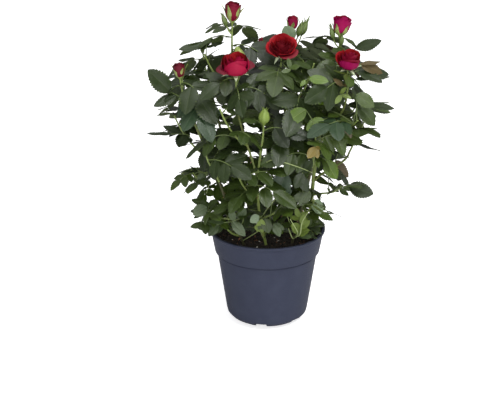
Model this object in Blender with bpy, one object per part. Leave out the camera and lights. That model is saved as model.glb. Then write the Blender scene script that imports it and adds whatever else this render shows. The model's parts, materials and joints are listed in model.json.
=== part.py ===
"""A patio rose bush growing in a round nursery pot, built as separate solids.

Everything is in metres, +Z up. The origin is the middle of the pot's flat underside.
The pot and its root ball are turned. Canes stand on the root ball, boughs leave the canes,
and sprays of leaves, buds and blooms leave both by one seeded rule.
"""

import math
import random
from collections import namedtuple

import bmesh
import bpy
from mathutils import Matrix, Vector
from mathutils.bvhtree import BVHTree

UP = Vector((0, 0, 1))

Limb = namedtuple("Limb", "start end bow radii")
Spray = namedtuple("Spray", "limb share tip leaves size turn seed flowers")
Flower = namedtuple("Flower", "kind share stalk bearing lean size")
Form = namedtuple("Form", "rings sides sepals rise length width")
Leaf = namedtuple("Leaf", "stalk facing places blades")
Blade = namedtuple("Blade", "root along normal length width fold curl shoulders")

# How far apart two solids stay where one is seated on the other, and where leaves pass each other
CLEARANCE = 0.0003
SEAT = 0.0006
SADDLE_SEARCH = 0.012
SADDLE_HALVINGS = 24
SPARE = 0.0005

# Pot: radius and height of each turn of its outer wall, from the foot ring to the rim
FOOT = (0.0500, 0.0)
CORNER_BELOW = (0.0520, 0.0046)
CORNER = (0.0582, 0.0130)
SHOULDER = (0.0713, 0.0960)
BAND = (0.0766, 0.1045)
BAND_TOP = (0.0826, 0.1362)
RIM = (0.0850, 0.1384)
POT_HEIGHT = 0.141
RIM_LIP = 0.0040
RIM_BEVEL = 0.0008
WALL = 0.0020
FLOOR_TOP = 0.0024
LEDGE_TOP = 0.0068
LEDGE_INNER = (0.0345, 0.0362)
POT_SIDES = 24
NOTCHES = 6
NOTCH_WIDTH = 0.018
NOTCH_HEIGHT = 0.0042
NOTCH_DEPTH = 0.0130

# Root ball
SOIL_TOP = 0.127
SOIL_FLAT_RADIUS = 0.0735
SOIL_EDGE_DROP = 0.003

# Canes, boughs and the stems of sprays
CANE_SIDES = 6
STEM_SIDES = 3
CANE_STEPS = 6
STEM_STEPS = 4
STEM_FOOT_RADIUS = 0.0015
STEM_TIP_RADIUS = 0.0011

# A leaf has a stalk, pairs of side leaflets and one leaflet at its end: shares of the end one's length
LEAFLET_LENGTH = 0.046
LEAFLET_WIDTH = 0.60
LEAFLET_THICK = 0.016
PETIOLE = 0.45
PAIR_SPACING = 0.42
END_STALK = 0.32
PAIR_SIZES = (0.76, 0.90)
PAIR_ANGLES = (73, 56)
PAIR_ANGLE_PLAY = 4
STALK_STEPS = 3
STALK_FOOT_RADIUS = 0.0010
STALK_TIP_RADIUS = 0.0007
ROOT_HALF_WIDTH = 0.0009
SHOULDERS = {1: ((0.42, 0.50),), 2: ((0.22, 0.37), (0.62, 0.45))}
BLADE_MIDDLE = 0.44
LEAF_RISE = 34
LEAF_RISE_PLAY = 16
LEAF_DROOP = 50
LEAF_DROOP_PLAY = 26
LEAF_ROLL = 30
LEAF_FACING = (0.35, 1.0)
GOLDEN_ANGLE = 137.5

# Where leaves sit on a stem, as shares of it, and how each try for room widens; sprays smaller than
# a tuft's size have one pair of side leaflets on each leaf
LOWEST_LEAF = 0.14
LEAFY_SHARE = 0.80
LEAF_PLACE_PLAY = 0.06
LEAF_SIZES = (0.88, 1.08)
LEAF_REACH = 2.2
TUFT_SIZE = 0.6
LEAF_SPREAD = 10
SPREAD_EACH_TRY = 8
SMALLER_EACH_TRY = 0.012
LEAF_TRIES = 18
STEM_TRIES = 16

# Crown: half-width at each height, how deep it is from front to back for its width, and how high
# its leaves stay above the pot: at its foot's height behind, and higher towards the front
CROWN_OUTLINE = ((0.11, 0.110), (0.15, 0.130), (0.20, 0.158), (0.30, 0.182), (0.39, 0.182),
                 (0.44, 0.15), (0.49, 0.09))
CROWN_DEPTH = 0.92
CROWN_FOOT = 0.130
CROWN_FOOT_SLOPE = 0.32
CROWN_MIDDLE = Vector((0.004, 0.006, 0))
CROWN_HALF = 0.17

# Height and half-width of the room that each kind of flower takes, at size 1
FLOWER_ROOM = {
    "bloom": (0.036, 0.029),
    "half": (0.034, 0.021),
    "bud": (0.033, 0.012),
    "green": (0.024, 0.007),
}
FLOWER_STALK_RADIUS = 0.0009
PETALS = 5
SEPAL_HEIGHT = 0.0022
SEPAL_TURN = 40
SEPAL_FOLD = 0.1
SEPAL_CURL = -0.1

# Each flower at size 1: its rings of (radius, height, lobe, turn), its sides, and its sepals' count,
# rise, length and width
FLOWER_FORMS = {
    "bloom": Form(
        ((0.0020, -0.001, 0, 0), (0.0050, 0.003, 0, 0), (0.0200, 0.008, 0.05, 0), (0.0275, 0.014, 0.10, 0),
         (0.0180, 0.012, 0.05, 90), (0.0190, 0.024, 0.09, 180), (0.0110, 0.020, 0.05, 180),
         (0.0105, 0.029, 0.09, 60), (0.0040, 0.026, 0, 0)), 10, 3, -24, 0.020, 0.007),
    "half": Form(
        ((0.0020, -0.001, 0, 0), (0.0052, 0.003, 0, 0), (0.0140, 0.009, 0.04, 0), (0.0195, 0.023, 0.09, 0),
         (0.0150, 0.021, 0.05, 90), (0.0125, 0.031, 0.08, 180), (0.0050, 0.029, 0, 0)),
        10, 3, 0, 0.020, 0.006),
    "bud": Form(
        ((0.0019, -0.001, 0, 0), (0.0045, 0.003, 0, 0), (0.0090, 0.011, 0.03, 0), (0.0102, 0.020, 0.05, 0),
         (0.0078, 0.030, 0.09, 0), (0.0030, 0.031, 0, 0)), 7, 3, 46, 0.023, 0.006),
    "green": Form(
        ((0.0015, -0.001, 0, 0), (0.0040, 0.003, 0, 0), (0.0054, 0.009, 0, 0), (0.0012, 0.020, 0, 0)),
        5, 2, 60, 0.024, 0.004),
}

# Canes: foot on the root ball, head, sideways bow of the middle, and foot and head radius
CANES = {
    "cane_front": Limb((-0.002, -0.030), (-0.0085, -0.078, 0.290), (-0.008, -0.004), (0.0022, 0.0016)),
    "cane_right": Limb((0.065, 0.008), (0.0970, 0.002, 0.385), (-0.010, 0.000), (0.0032, 0.0018)),
    "cane_left": Limb((-0.050, 0.004), (-0.114, -0.026, 0.335), (0.004, 0.004), (0.0028, 0.0016)),
    "cane_middle": Limb((-0.022, 0.026), (-0.051, 0.019, 0.395), (-0.004, 0.010), (0.0028, 0.0016)),
    "cane_centre": Limb((0.020, 0.014), (0.018, -0.012, 0.365), (0.010, 0.004), (0.0029, 0.0017)),
    "cane_back_right": Limb((0.046, 0.044), (0.086, 0.084, 0.335), (0.002, 0.006), (0.0027, 0.0016)),
    "cane_back_left": Limb((-0.042, 0.050), (-0.086, 0.084, 0.330), (0.002, 0.006), (0.0027, 0.0016)),
    "cane_rear": Limb((0.004, 0.060), (-0.004, 0.112, 0.310), (0.000, 0.008), (0.0026, 0.0016)),
    "cane_front_right": Limb((0.036, -0.030), (0.062, -0.078, 0.262), (0.000, -0.004), (0.0021, 0.0015)),
    "cane_front_left": Limb((-0.034, -0.034), (-0.068, -0.072, 0.238), (0.000, -0.004), (0.0021, 0.0015)),
}

# Boughs: the cane and how far up it they leave, head, bow, and foot and head radius
BOUGHS = {
    "bough_front": Limb(("cane_front", 0.66), (-0.0440, -0.058, 0.362), (-0.004, 0.004), (0.0017, 0.0013)),
    "bough_right_front": Limb(("cane_right", 0.52), (0.110, -0.046, 0.36), (0.004, -0.006), (0.0018, 0.0014)),
    "bough_right": Limb(("cane_right", 0.32), (0.118, -0.008, 0.262), (0.004, 0.000), (0.0018, 0.0014)),
    "bough_back": Limb(("cane_centre", 0.55), (0.034, 0.042, 0.378), (0.004, 0.008), (0.0018, 0.0013)),
}

# Sprays: the limb and how far up it they leave, where the stem ends, how many leaves and how big,
# the bearing of the first leaf, a seed, and the buds and blooms
SPRAYS = {
    "spray_tall_bud": Spray("cane_middle", 1, (-0.051, 0.020, 0.4435), 3, 0.90, 45, 1208, (
        Flower("bud", 1, 0, 0, 4, 1.0), Flower("green", 0.66, 0.016, 185, 20, 0.8))),
    "spray_left_bloom": Spray("bough_front", 1, (-0.0440, -0.061, 0.3920), 2, 0.80, 210, 212, (
        Flower("bloom", 1, 0, 262, 14, 1.0), Flower("green", 0.4, 0.030, 60, 18, 1.0))),
    "spray_middle_bloom": Spray("cane_centre", 1, (0.0190, -0.021, 0.4100), 3, 0.90, 105, 564, (
        Flower("bloom", 1, 0, 270, 30, 0.92),)),
    "spray_back_bud": Spray("bough_back", 1, (0.0335, 0.040, 0.4270), 2, 0.85, 180, 179, (
        Flower("bud", 1, 0, 0, 5, 0.72), Flower("green", 0.5, 0.022, 330, 18, 1.0),
        Flower("green", 0.3, 0.032, 20, 22, 1.0))),
    "spray_right_bud": Spray("cane_right", 1, (0.1010, 0.000, 0.4340), 2, 0.95, 120, 1143, (
        Flower("bud", 1, 0, 10, 8, 0.95), Flower("green", 0.55, 0.018, 190, 14, 0.8),
        Flower("green", 0.45, 0.014, 290, 10, 0.7))),
    "spray_right_bloom": Spray("bough_right_front", 1, (0.1100, -0.049, 0.3950), 2, 0.90, 80, 161, (
        Flower("half", 1, 0, 285, 16, 1.0),)),
    "spray_left_bud": Spray("cane_left", 1, (-0.1230, -0.030, 0.3760), 3, 1.0, 320, 963, (
        Flower("bud", 1, 0, 170, 5, 0.62), Flower("green", 0.4, 0.024, 100, 20, 0.6))),
    "spray_green_bud": Spray("cane_front", 1, (-0.0055, -0.089, 0.3300), 2, 0.90, 0, 368, (
        Flower("green", 1, 0, 0, 4, 1.25),)),
    "spray_high_left": Spray("cane_middle", 0.80, (-0.090, 0.006, 0.402), 3, 1.0, 50, 77, ()),
    "spray_left": Spray("cane_left", 0.60, (-0.134, 0.000, 0.312), 3, 1.0, 55, 501, ()),
    "spray_left_low": Spray("cane_left", 0.36, (-0.110, -0.018, 0.236), 3, 0.85, 55, 1068, ()),
    "spray_front_left": Spray("cane_front_left", 1, (-0.086, -0.090, 0.286), 3, 1.0, 260, 116, ()),
    "spray_rim_left": Spray("cane_front_left", 0.42, (-0.096, -0.058, 0.190), 3, 0.70, 230, 767, ()),
    "spray_front_high": Spray("bough_front", 0.42, (-0.066, -0.086, 0.350), 2, 0.95, 45, 417, ()),
    "spray_front": Spray("cane_front", 0.52, (-0.042, -0.100, 0.262), 3, 0.95, 255, 200, ()),
    "spray_front_low": Spray("cane_front", 0.28, (0.020, -0.076, 0.205), 3, 0.75, 275, 550, ()),
    "spray_centre": Spray("cane_centre", 0.62, (0.028, -0.066, 0.340), 3, 1.0, 30, 445, ()),
    "spray_centre_low": Spray("cane_centre", 0.30, (-0.012, -0.006, 0.262), 2, 0.90, 210, 459, ()),
    "spray_centre_right": Spray("cane_centre", 0.82, (0.064, -0.034, 0.400), 3, 1.0, 125, 1383, ()),
    "spray_front_right": Spray("cane_front_right", 1, (0.066, -0.092, 0.312), 3, 1.0, 320, 291, ()),
    "spray_rim_right": Spray("cane_front_right", 0.40, (0.066, -0.072, 0.212), 3, 0.75, 185, 88, ()),
    "spray_right": Spray("bough_right", 1, (0.140, -0.016, 0.322), 3, 1.0, 125, 42, ()),
    "spray_right_front": Spray("bough_right_front", 0.50, (0.124, -0.074, 0.330), 3, 1.0, 285, 597, ()),
    "spray_high_right": Spray("cane_right", 0.80, (0.126, 0.020, 0.402), 3, 1.0, 90, 240, ()),
    "spray_right_low": Spray("cane_right", 0.24, (0.104, -0.010, 0.206), 3, 0.85, 310, 1810, ()),
    "spray_back_right": Spray("cane_back_right", 1, (0.092, 0.096, 0.386), 3, 1.0, 260, 88, ()),
    "spray_side_back_right": Spray("cane_back_right", 0.60, (0.132, 0.068, 0.310), 3, 1.0, 335, 186, ()),
    "spray_low_back_right": Spray("cane_back_right", 0.34, (0.098, 0.092, 0.222), 3, 0.9, 240, 67, ()),
    "spray_back_left": Spray("cane_back_left", 1, (-0.096, 0.090, 0.380), 3, 1.0, 110, 200, (
        Flower("bud", 1, 0, 140, 10, 0.8),)),
    "spray_side_back_left": Spray("cane_back_left", 0.62, (-0.130, 0.066, 0.305), 3, 1.0, 45, 312, ()),
    "spray_low_back_left": Spray("cane_back_left", 0.34, (-0.094, 0.088, 0.218), 2, 0.9, 115, 403, ()),
    "spray_rear": Spray("cane_rear", 1, (-0.004, 0.124, 0.370), 3, 0.95, 255, 88, (
        Flower("bloom", 1, 0, 90, 20, 0.85),)),
    "spray_rear_right": Spray("cane_rear", 0.66, (0.044, 0.132, 0.300), 2, 1.0, 60, 12, ()),
    "spray_rear_left": Spray("cane_rear", 0.46, (-0.042, 0.128, 0.258), 2, 1.0, 225, 396, ()),
    "spray_high_back": Spray("bough_back", 0.55, (0.052, 0.080, 0.372), 2, 1.0, 165, 25, ()),
    "spray_high_middle": Spray("cane_middle", 0.58, (-0.040, 0.074, 0.368), 3, 1.0, 325, 277, ()),
    "tuft_right": Spray("cane_right", 0.09, (0.070, -0.018, 0.166), 3, 0.58, 280, 382, ()),
    "tuft_front": Spray("cane_front", 0.12, (0.010, -0.054, 0.166), 3, 0.58, 300, 67, ()),
    "tuft_left": Spray("cane_front_left", 0.15, (-0.062, -0.056, 0.168), 3, 0.58, 170, 452, ()),
    "tuft_middle": Spray("cane_middle", 0.07, (-0.030, -0.006, 0.166), 3, 0.58, 265, 109, ()),
    "tuft_front_right": Spray("cane_front_right", 0.10, (0.047, -0.054, 0.160), 3, 0.55, 0, 410, ()),
}


def bearing_vector(degrees):
    """Level direction: 0 is +X and 90 is +Y"""
    angle = math.radians(degrees)
    return Vector((math.cos(angle), math.sin(angle), 0))


def point_on(path, share):
    """Point a share of the way along a path of evenly counted points"""
    place = min(max(share, 0), 1) * (len(path) - 1)
    step = min(int(place), len(path) - 2)
    return path[step].lerp(path[step + 1], place - step)


def direction_on(path, share):
    step = min(int(min(max(share, 0), 1) * (len(path) - 1)), len(path) - 2)
    return (path[step + 1] - path[step]).normalized()


def bowed_path(start, end, bow, steps):
    """Points from start to end, pushed sideways by the bow at the middle"""
    shares = [step / steps for step in range(steps + 1)]
    return [start.lerp(end, share) + bow * (4 * share * (1 - share)) for share in shares]


def curved_path(start, leaving, end, arriving, steps):
    """Points on the cubic curve that leaves and arrives in the given directions"""
    pull = (end - start).length / 3
    inner = start + leaving * pull
    outer = end - arriving * pull
    points = []
    for step in range(steps + 1):
        share = step / steps
        rest = 1 - share
        points.append(start * rest ** 3 + inner * (3 * rest * rest * share)
                      + outer * (3 * rest * share * share) + end * share ** 3)
    return points


def crosswise(direction, hint):
    """Unit vector square to the direction, as near to the hint as it gets"""
    return (hint - direction * hint.dot(direction)).normalized()


def tube(path, radii, sides, flat_foot=False):
    """Vertices and faces of a closed tube round a path, with the radii spread along it"""
    first = direction_on(path, 0)
    side = crosswise(first, Vector((1, 0.3, 0)) if abs(first.x) < 0.8 else Vector((0.2, 1, 0)))
    vertices = []
    last = len(path) - 1
    for step, centre in enumerate(path):
        before = path[max(step - 1, 0)]
        after = path[min(step + 1, last)]
        direction = (after - before).normalized()
        if flat_foot and step == 0:
            direction = UP
        side = crosswise(direction, side)
        other = direction.cross(side)
        place = step / last * (len(radii) - 1)
        whole = min(int(place), len(radii) - 2)
        radius = radii[whole] + (radii[whole + 1] - radii[whole]) * (place - whole)
        for corner in range(sides):
            turn = 2 * math.pi * corner / sides
            vertices.append(centre + (side * math.cos(turn) + other * math.sin(turn)) * radius)
    faces = [tuple(reversed(range(sides)))]
    for step in range(last):
        for corner in range(sides):
            near = step * sides + corner
            beside = step * sides + (corner + 1) % sides
            faces.append((near, beside, beside + sides, near + sides))
    faces.append(tuple(range(last * sides, (last + 1) * sides)))
    return vertices, faces


def blade_points(blade, spare=0):
    """Rim of a folded blade from one side of its root round the tip to the other, then its two middles

    The rim has no thickness. One point above and one below the middle give the blade its body.
    """
    across = blade.along.cross(blade.normal)
    half_thick = blade.length * LEAFLET_THICK / 2 + spare

    def at(share, sideways, lift):
        """Point at shares of the length and width, lifted off the blade's plane in metres"""
        drop = blade.curl * blade.length * share * share
        rise = blade.fold * abs(sideways) * blade.width
        place = blade.along * (share * blade.length) + across * (sideways * blade.width)
        return blade.root + place + blade.normal * (lift + rise - drop)

    sides = SHOULDERS[blade.shoulders]
    rim = [at(share, width, 0) for share, width in sides]
    rim.append(at(1, 0, 0))
    rim += [at(share, -width, 0) for share, width in reversed(sides)]
    return rim, at(BLADE_MIDDLE, 0, half_thick), at(BLADE_MIDDLE, 0, -half_thick)


def open_out(vertices, faces, top, bottom, blade, spare=0):
    """Add a blade that grows from an open root: a top edge and a bottom edge, or a bottom corner"""
    rim, middle, under = blade_points(blade, spare)
    first = len(vertices)
    vertices += rim + [middle, under]
    rim = list(range(first, first + len(rim)))
    for edge, centre in ((top, len(vertices) - 2), (bottom, len(vertices) - 1)):
        chain = [edge[0]] + rim + [edge[1]]
        faces += [(one, other, centre) for one, other in zip(chain, chain[1:])]
        if edge[0] != edge[1]:
            faces.append((edge[1], edge[0], centre))
    faces.append((top[0], bottom[0], rim[0]))
    faces.append((top[1], bottom[1], rim[-1]))


def blade_shape(blade):
    """A blade by itself, with a blunt root edge that sinks into what carries it"""
    half_root = ROOT_HALF_WIDTH / 2
    vertices = [blade.root + blade.normal * half_root, blade.root - blade.normal * half_root]
    faces = []
    open_out(vertices, faces, (0, 0), (1, 1), blade)
    return vertices, faces


class Guards:
    """The room that is already taken, as search trees with a bounding ball each"""

    def __init__(self):
        self.taken = []

    def add(self, owner, shapes):
        for vertices, faces in shapes:
            self.taken.append((owner, *ball_round(vertices), BVHTree.FromPolygons(vertices, faces)))

    def meets(self, vertices, faces, skip=()):
        centre, radius = ball_round(vertices)
        tree = None
        for owner, other, reach, taken in self.taken:
            if owner in skip or (other - centre).length > reach + radius:
                continue
            tree = tree or BVHTree.FromPolygons(vertices, faces)
            if tree.overlap(taken):
                return True
        return False


def ball_round(vertices):
    centre = sum(vertices, Vector()) / len(vertices)
    return centre, max((vertex - centre).length for vertex in vertices)


def inside_crown(point):
    """Whether a point keeps to the crown: an oval at each height"""
    heights = CROWN_OUTLINE
    foot = CROWN_FOOT + CROWN_FOOT_SLOPE * max(-point.y, 0)
    if not max(foot, heights[0][0]) < point.z < heights[-1][0]:
        return False
    for (low, low_half), (high, high_half) in zip(heights, heights[1:]):
        if low <= point.z <= high:
            half = low_half + (high_half - low_half) * (point.z - low) / (high - low)
    offset = point - CROWN_MIDDLE
    return (offset.x / half) ** 2 + (offset.y / (half * CROWN_DEPTH)) ** 2 < 1


def grow_leaf(stem, share, bearing, size, pairs, rng):
    """A compound leaf: its stalk arches out and over, with pairs of blades and one at the end"""
    outward = bearing_vector(bearing)
    rise = math.radians(LEAF_RISE + rng.uniform(-LEAF_RISE_PLAY, LEAF_RISE_PLAY))
    droop = math.radians(LEAF_DROOP + rng.uniform(-LEAF_DROOP_PLAY, LEAF_DROOP_PLAY))
    length = size * LEAFLET_LENGTH
    sections = [PETIOLE * (pairs > 0)] + [PAIR_SPACING] * (pairs - 1) + [END_STALK]
    stalk_length = length * sum(sections)
    stalk = [point_on(stem, share)]
    for step in range(STALK_STEPS):
        angle = rise - droop * (step + 0.5) / STALK_STEPS
        onward = outward * math.cos(angle) + UP * math.sin(angle)
        stalk.append(stalk[-1] + onward * (stalk_length / STALK_STEPS))
    from_middle = (stalk[-1] - CROWN_MIDDLE) * Vector((1, 1, 0)) / CROWN_HALF
    facing = (UP + from_middle * rng.uniform(*LEAF_FACING)).normalized()
    facing.rotate(Matrix.Rotation(math.radians(rng.uniform(-LEAF_ROLL, LEAF_ROLL)), 3, outward))
    places = [length * sum(sections[:pair + 1]) / stalk_length for pair in range(pairs)]
    blades = []

    def add_blade(place, turned, size_share):
        tangent, normal, across = stalk_frame(stalk, place, facing)
        along = tangent * math.cos(math.radians(turned)) + across * math.sin(math.radians(turned))
        along = (along - normal * rng.uniform(0.02, 0.24)).normalized()
        tilted = crosswise(along, normal + across * rng.uniform(-0.2, 0.2))
        blade_length = length * size_share * rng.uniform(0.94, 1.06)
        blades.append(Blade(point_on(stalk, place), along, tilted, blade_length, blade_length * LEAFLET_WIDTH,
                            rng.uniform(0.02, 0.22), rng.uniform(0.04, 0.20), 2 if size_share > 0.8 else 1))

    for pair, place in enumerate(places, len(PAIR_SIZES) - pairs):
        for side in (1, -1):
            turned = side * (PAIR_ANGLES[pair] + rng.uniform(-PAIR_ANGLE_PLAY, PAIR_ANGLE_PLAY))
            add_blade(place, turned, PAIR_SIZES[pair])
    add_blade(1, 0, 1)
    return Leaf(stalk, facing, places, blades)


def stalk_frame(stalk, place, facing):
    """Forward, upward and rightward directions on a leaf's stalk, with its upper side to the light"""
    tangent = direction_on(stalk, place)
    normal = crosswise(tangent, facing)
    return tangent, normal, tangent.cross(normal)


def leaf_shape(leaf, spare=0):
    """One closed skin for a leaf: a three-sided stalk whose side faces open out into blades

    The spare is added all round to leave room between leaves.
    """
    half_root = ROOT_HALF_WIDTH / sum((b - a).length for a, b in zip(leaf.stalk, leaf.stalk[1:]))
    rings = [0]
    for place in leaf.places:
        rings += [place - half_root, place + half_root]
    rings.append(1)
    vertices = []
    faces = []
    for ring in rings:
        radius = STALK_FOOT_RADIUS + (STALK_TIP_RADIUS - STALK_FOOT_RADIUS) * ring + spare
        tangent, normal, across = stalk_frame(leaf.stalk, ring, leaf.facing)
        centre = point_on(leaf.stalk, ring)
        for right, up in ((0.87, 0.5), (-0.87, 0.5), (0, -1)):
            vertices.append(centre + (across * right + normal * up) * radius)
    faces.append((0, 1, 2))
    blades = list(leaf.blades)
    for step in range(len(rings) - 1):
        right, left, low = step * 3, step * 3 + 1, step * 3 + 2
        faces.append((right, left, left + 3, right + 3))
        if step % 2 == 1:
            open_out(vertices, faces, (right, right + 3), (low, low + 3), blades.pop(0), spare)
            open_out(vertices, faces, (left + 3, left), (low + 3, low), blades.pop(0), spare)
        else:
            faces.append((right, right + 3, low + 3, low))
            faces.append((left + 3, left, low, low + 3))
    last = 3 * (len(rings) - 1)
    open_out(vertices, faces, (last, last + 1), (last + 2, last + 2), blades.pop(0), spare)
    return vertices, faces


def leaf_fits(room, leaf, owner, middle, reach, guards):
    """Whether a leaf keeps to the crown and its own space and touches nothing that is there"""
    for blade in leaf.blades:
        tip = blade.root + blade.along * blade.length
        if not inside_crown(tip) or (tip - middle).length > reach:
            return False
    vertices, faces = room
    if guards.meets(vertices, faces, skip=(owner,)):
        return False
    beyond_root = [face for face in faces if min(face) > 2]
    return not guards.meets(vertices, beyond_root)


def grow_leaves(name, spray, stem, guards):
    """The leaves of one spray, spiralling up its stem wherever there is room"""
    rng = random.Random(spray.seed)
    middle = point_on(stem, 0.5)
    reach = (stem[-1] - stem[0]).length / 2 + LEAFLET_LENGTH * LEAF_REACH
    leaves = []
    for count in range(spray.leaves):
        share = LOWEST_LEAF + LEAFY_SHARE * (spray.leaves - count - 0.5) / spray.leaves
        pairs = 1 if spray.size < TUFT_SIZE or (spray.flowers and count == 0) else 2
        bearing = spray.turn + GOLDEN_ANGLE * count
        for attempt in range(LEAF_TRIES):
            spread = LEAF_SPREAD + attempt * SPREAD_EACH_TRY
            size = spray.size * rng.uniform(*LEAF_SIZES) * (1 - SMALLER_EACH_TRY * attempt)
            place = share + rng.uniform(-LEAF_PLACE_PLAY, LEAF_PLACE_PLAY)
            leaf = grow_leaf(stem, place, bearing + rng.uniform(-spread, spread), size, pairs, rng)
            room = leaf_shape(leaf, SPARE)
            if leaf_fits(room, leaf, name, middle, reach, guards):
                leaves.append(leaf)
                guards.add(name, [room])
                break
    return leaves


def cane_path(limb):
    start = Vector((*limb.start, SOIL_TOP + CLEARANCE))
    return bowed_path(start, Vector(limb.end), Vector((*limb.bow, 0)), CANE_STEPS)


def limb_radius(limb, share):
    return limb.radii[0] + (limb.radii[1] - limb.radii[0]) * share


def seated_tube(path, radii, sides, carrier, carrier_radius):
    """A tube whose foot is cut to the round of the limb that carries it, a hair clear of it"""
    vertices, faces = tube(path, radii, sides)
    direction = direction_on(path, 0)
    for corner in range(sides):
        point = vertices[corner]
        low, high = 0, SADDLE_SEARCH
        for _ in range(SADDLE_HALVINGS):
            middle = (low + high) / 2
            if distance_to(carrier, point + direction * middle) < carrier_radius + SEAT:
                low = middle
            else:
                high = middle
        vertices[corner] = point + direction * high
    return vertices, faces


def distance_to(path, point):
    """Distance from a point to a path of straight steps"""
    best = math.inf
    for start, end in zip(path, path[1:]):
        step = end - start
        share = min(max((point - start).dot(step) / step.length_squared, 0), 1)
        best = min(best, (start + step * share - point).length)
    return best


def bough_path(limb, cane):
    """A bough leaves its cane's middle line sideways and bends up to its head"""
    start = point_on(cane, limb.start[1])
    end = Vector(limb.end)
    leaving = (direction_on(cane, limb.start[1]) * 0.5 + (end - start).normalized()).normalized()
    bow = Vector((*limb.bow, 0))
    path = curved_path(start, leaving, end, (end - start + UP * 0.05).normalized(), CANE_STEPS)
    shares = [step / CANE_STEPS for step in range(CANE_STEPS + 1)]
    return [point + bow * (6 * share * share * (1 - share)) for share, point in zip(shares, path)]


def stem_path(spray, limb_points, sway):
    """The stem of a spray: on from its limb's tip, or out of its limb's side and up"""
    end = Vector(spray.tip)
    heading = direction_on(limb_points, spray.share)
    start = point_on(limb_points, spray.share)
    aim = (end - start).normalized()
    if spray.share == 1:
        start = start + heading * CLEARANCE
        leaving = heading
    else:
        leaving = (crosswise(heading, aim + sway) * 0.85 + heading * 0.5).normalized()
    arriving = (aim + UP * 0.8).normalized()
    return curved_path(start, leaving, end, arriving, STEM_STEPS)


def clear_stem(name, spray, limb_points, guards):
    """The first stem path, swaying further each time, that passes clear of everything"""
    for attempt in range(STEM_TRIES):
        sway = bearing_vector(GOLDEN_ANGLE * attempt) * (0.10 * attempt)
        path = stem_path(spray, limb_points, sway)
        shape = tube(path, (STEM_FOOT_RADIUS + SPARE, STEM_TIP_RADIUS + SPARE), STEM_SIDES)
        if not guards.meets(*shape, skip=(spray.limb,)):
            break
    guards.add(name, [shape])
    return path


def leaning(bearing, degrees):
    """Unit vector that leans from upright towards a bearing"""
    angle = math.radians(degrees)
    return UP * math.cos(angle) + bearing_vector(bearing) * math.sin(angle)


def flower_stalk(flower, stem):
    """The short stalk of a bud that leaves its stem's side, or nothing at the stem's tip"""
    if flower.share == 1:
        return []
    start = point_on(stem, flower.share)
    out = bearing_vector(flower.bearing)
    end = start + out * (flower.stalk * 0.5) + UP * (flower.stalk * 0.86)
    leaving = (out * 0.8 + UP * 0.6).normalized()
    return curved_path(start, leaving, end, leaning(flower.bearing, flower.lean), 2)


def flower_hull(flower, base):
    """The room that a bud or bloom takes: narrow at its foot and widest at its middle"""
    height, radius = FLOWER_ROOM[flower.kind]
    axis = leaning(flower.bearing, flower.lean)
    path = [base + axis * (height * flower.size * share) for share in (0.03, 0.4, 1)]
    return tube(path, (0.002, radius * flower.size, radius * flower.size * 0.8), 8)


def grow_bush():
    """Paths of all limbs and stems, and each spray's flowers and leaves, grown in the order of the tables"""
    guards = Guards()
    guards.add("pot", [pot_room()])
    limbs = {}
    for name, limb in CANES.items():
        limbs[name] = cane_path(limb)
    for name, limb in BOUGHS.items():
        limbs[name] = bough_path(limb, limbs[limb.start[0]])
    for name, limb in {**CANES, **BOUGHS}.items():
        radii = [radius + SPARE for radius in limb.radii]
        guards.add(name, [tube(limbs[name], radii, CANE_SIDES)])
    stems = {name: clear_stem(name, spray, limbs[spray.limb], guards) for name, spray in SPRAYS.items()}
    for name, spray in SPRAYS.items():
        for flower in spray.flowers:
            stalk = flower_stalk(flower, stems[name])
            base = stalk[-1] if stalk else stems[name][-1]
            guards.add(name, [flower_hull(flower, base)] + flower_shapes(flower, base))
            if stalk:
                guards.add(name, [tube(stalk, (FLOWER_STALK_RADIUS + SPARE,) * 2, STEM_SIDES)])
    leaves = {name: grow_leaves(name, spray, stems[name], guards) for name, spray in SPRAYS.items()}
    return limbs, stems, leaves


def turned_shape(profile, sides):
    """Vertices and faces of a closed profile of (radius, height) points turned round the upright axis"""
    vertices = []
    rings = []
    for radius, height in profile:
        count = 1 if radius == 0 else sides
        rings.append(range(len(vertices), len(vertices) + count))
        for corner in range(count):
            angle = 2 * math.pi * corner / sides
            vertices.append(Vector((radius * math.cos(angle), radius * math.sin(angle), height)))
    faces = []
    for inner, outer in zip(rings, rings[1:] + rings[:1]):
        for corner in range(sides):
            following = (corner + 1) % sides
            ring = [inner[corner % len(inner)], inner[following % len(inner)],
                    outer[following % len(outer)], outer[corner % len(outer)]]
            face = tuple(dict.fromkeys(ring))
            if len(face) > 2:
                faces.append(face)
    return vertices, faces


def pot_room():
    """The pot filled to just above its soil, a little larger all round"""
    outside = RIM[0] + 2 * SPARE
    inside = RIM[0] - RIM_LIP - 2 * SPARE
    top = POT_HEIGHT + 2 * SPARE
    soil = SOIL_TOP + 2 * SPARE
    profile = [(0, 0), FOOT, (CORNER[0] + SPARE, CORNER[1]), (outside, BAND_TOP[1]), (outside, top),
               (inside, top), (inside, soil), (0, soil)]
    return turned_shape(profile, POT_SIDES)


def material(name, colour, roughness):
    """A Principled material of one colour, given as linear red, green and blue"""
    made = bpy.data.materials.new(name)
    made.use_nodes = True
    principled = made.node_tree.nodes["Principled BSDF"]
    principled.inputs["Base Color"].default_value = (*colour, 1)
    principled.inputs["Roughness"].default_value = roughness
    made.diffuse_color = (*colour, 1)
    return made


def pot_material():
    return material("pot_plastic", (0.062, 0.068, 0.105), 0.45)


def soil_material():
    return material("peat_compost", (0.020, 0.016, 0.013), 0.95)


def cane_material():
    return material("green_bark", (0.16, 0.20, 0.07), 0.6)


def leaf_material():
    return material("rose_leaf", (0.050, 0.072, 0.032), 0.5)


def flower_material():
    return material("rose_petal", (0.42, 0.012, 0.030), 0.55)


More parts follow.
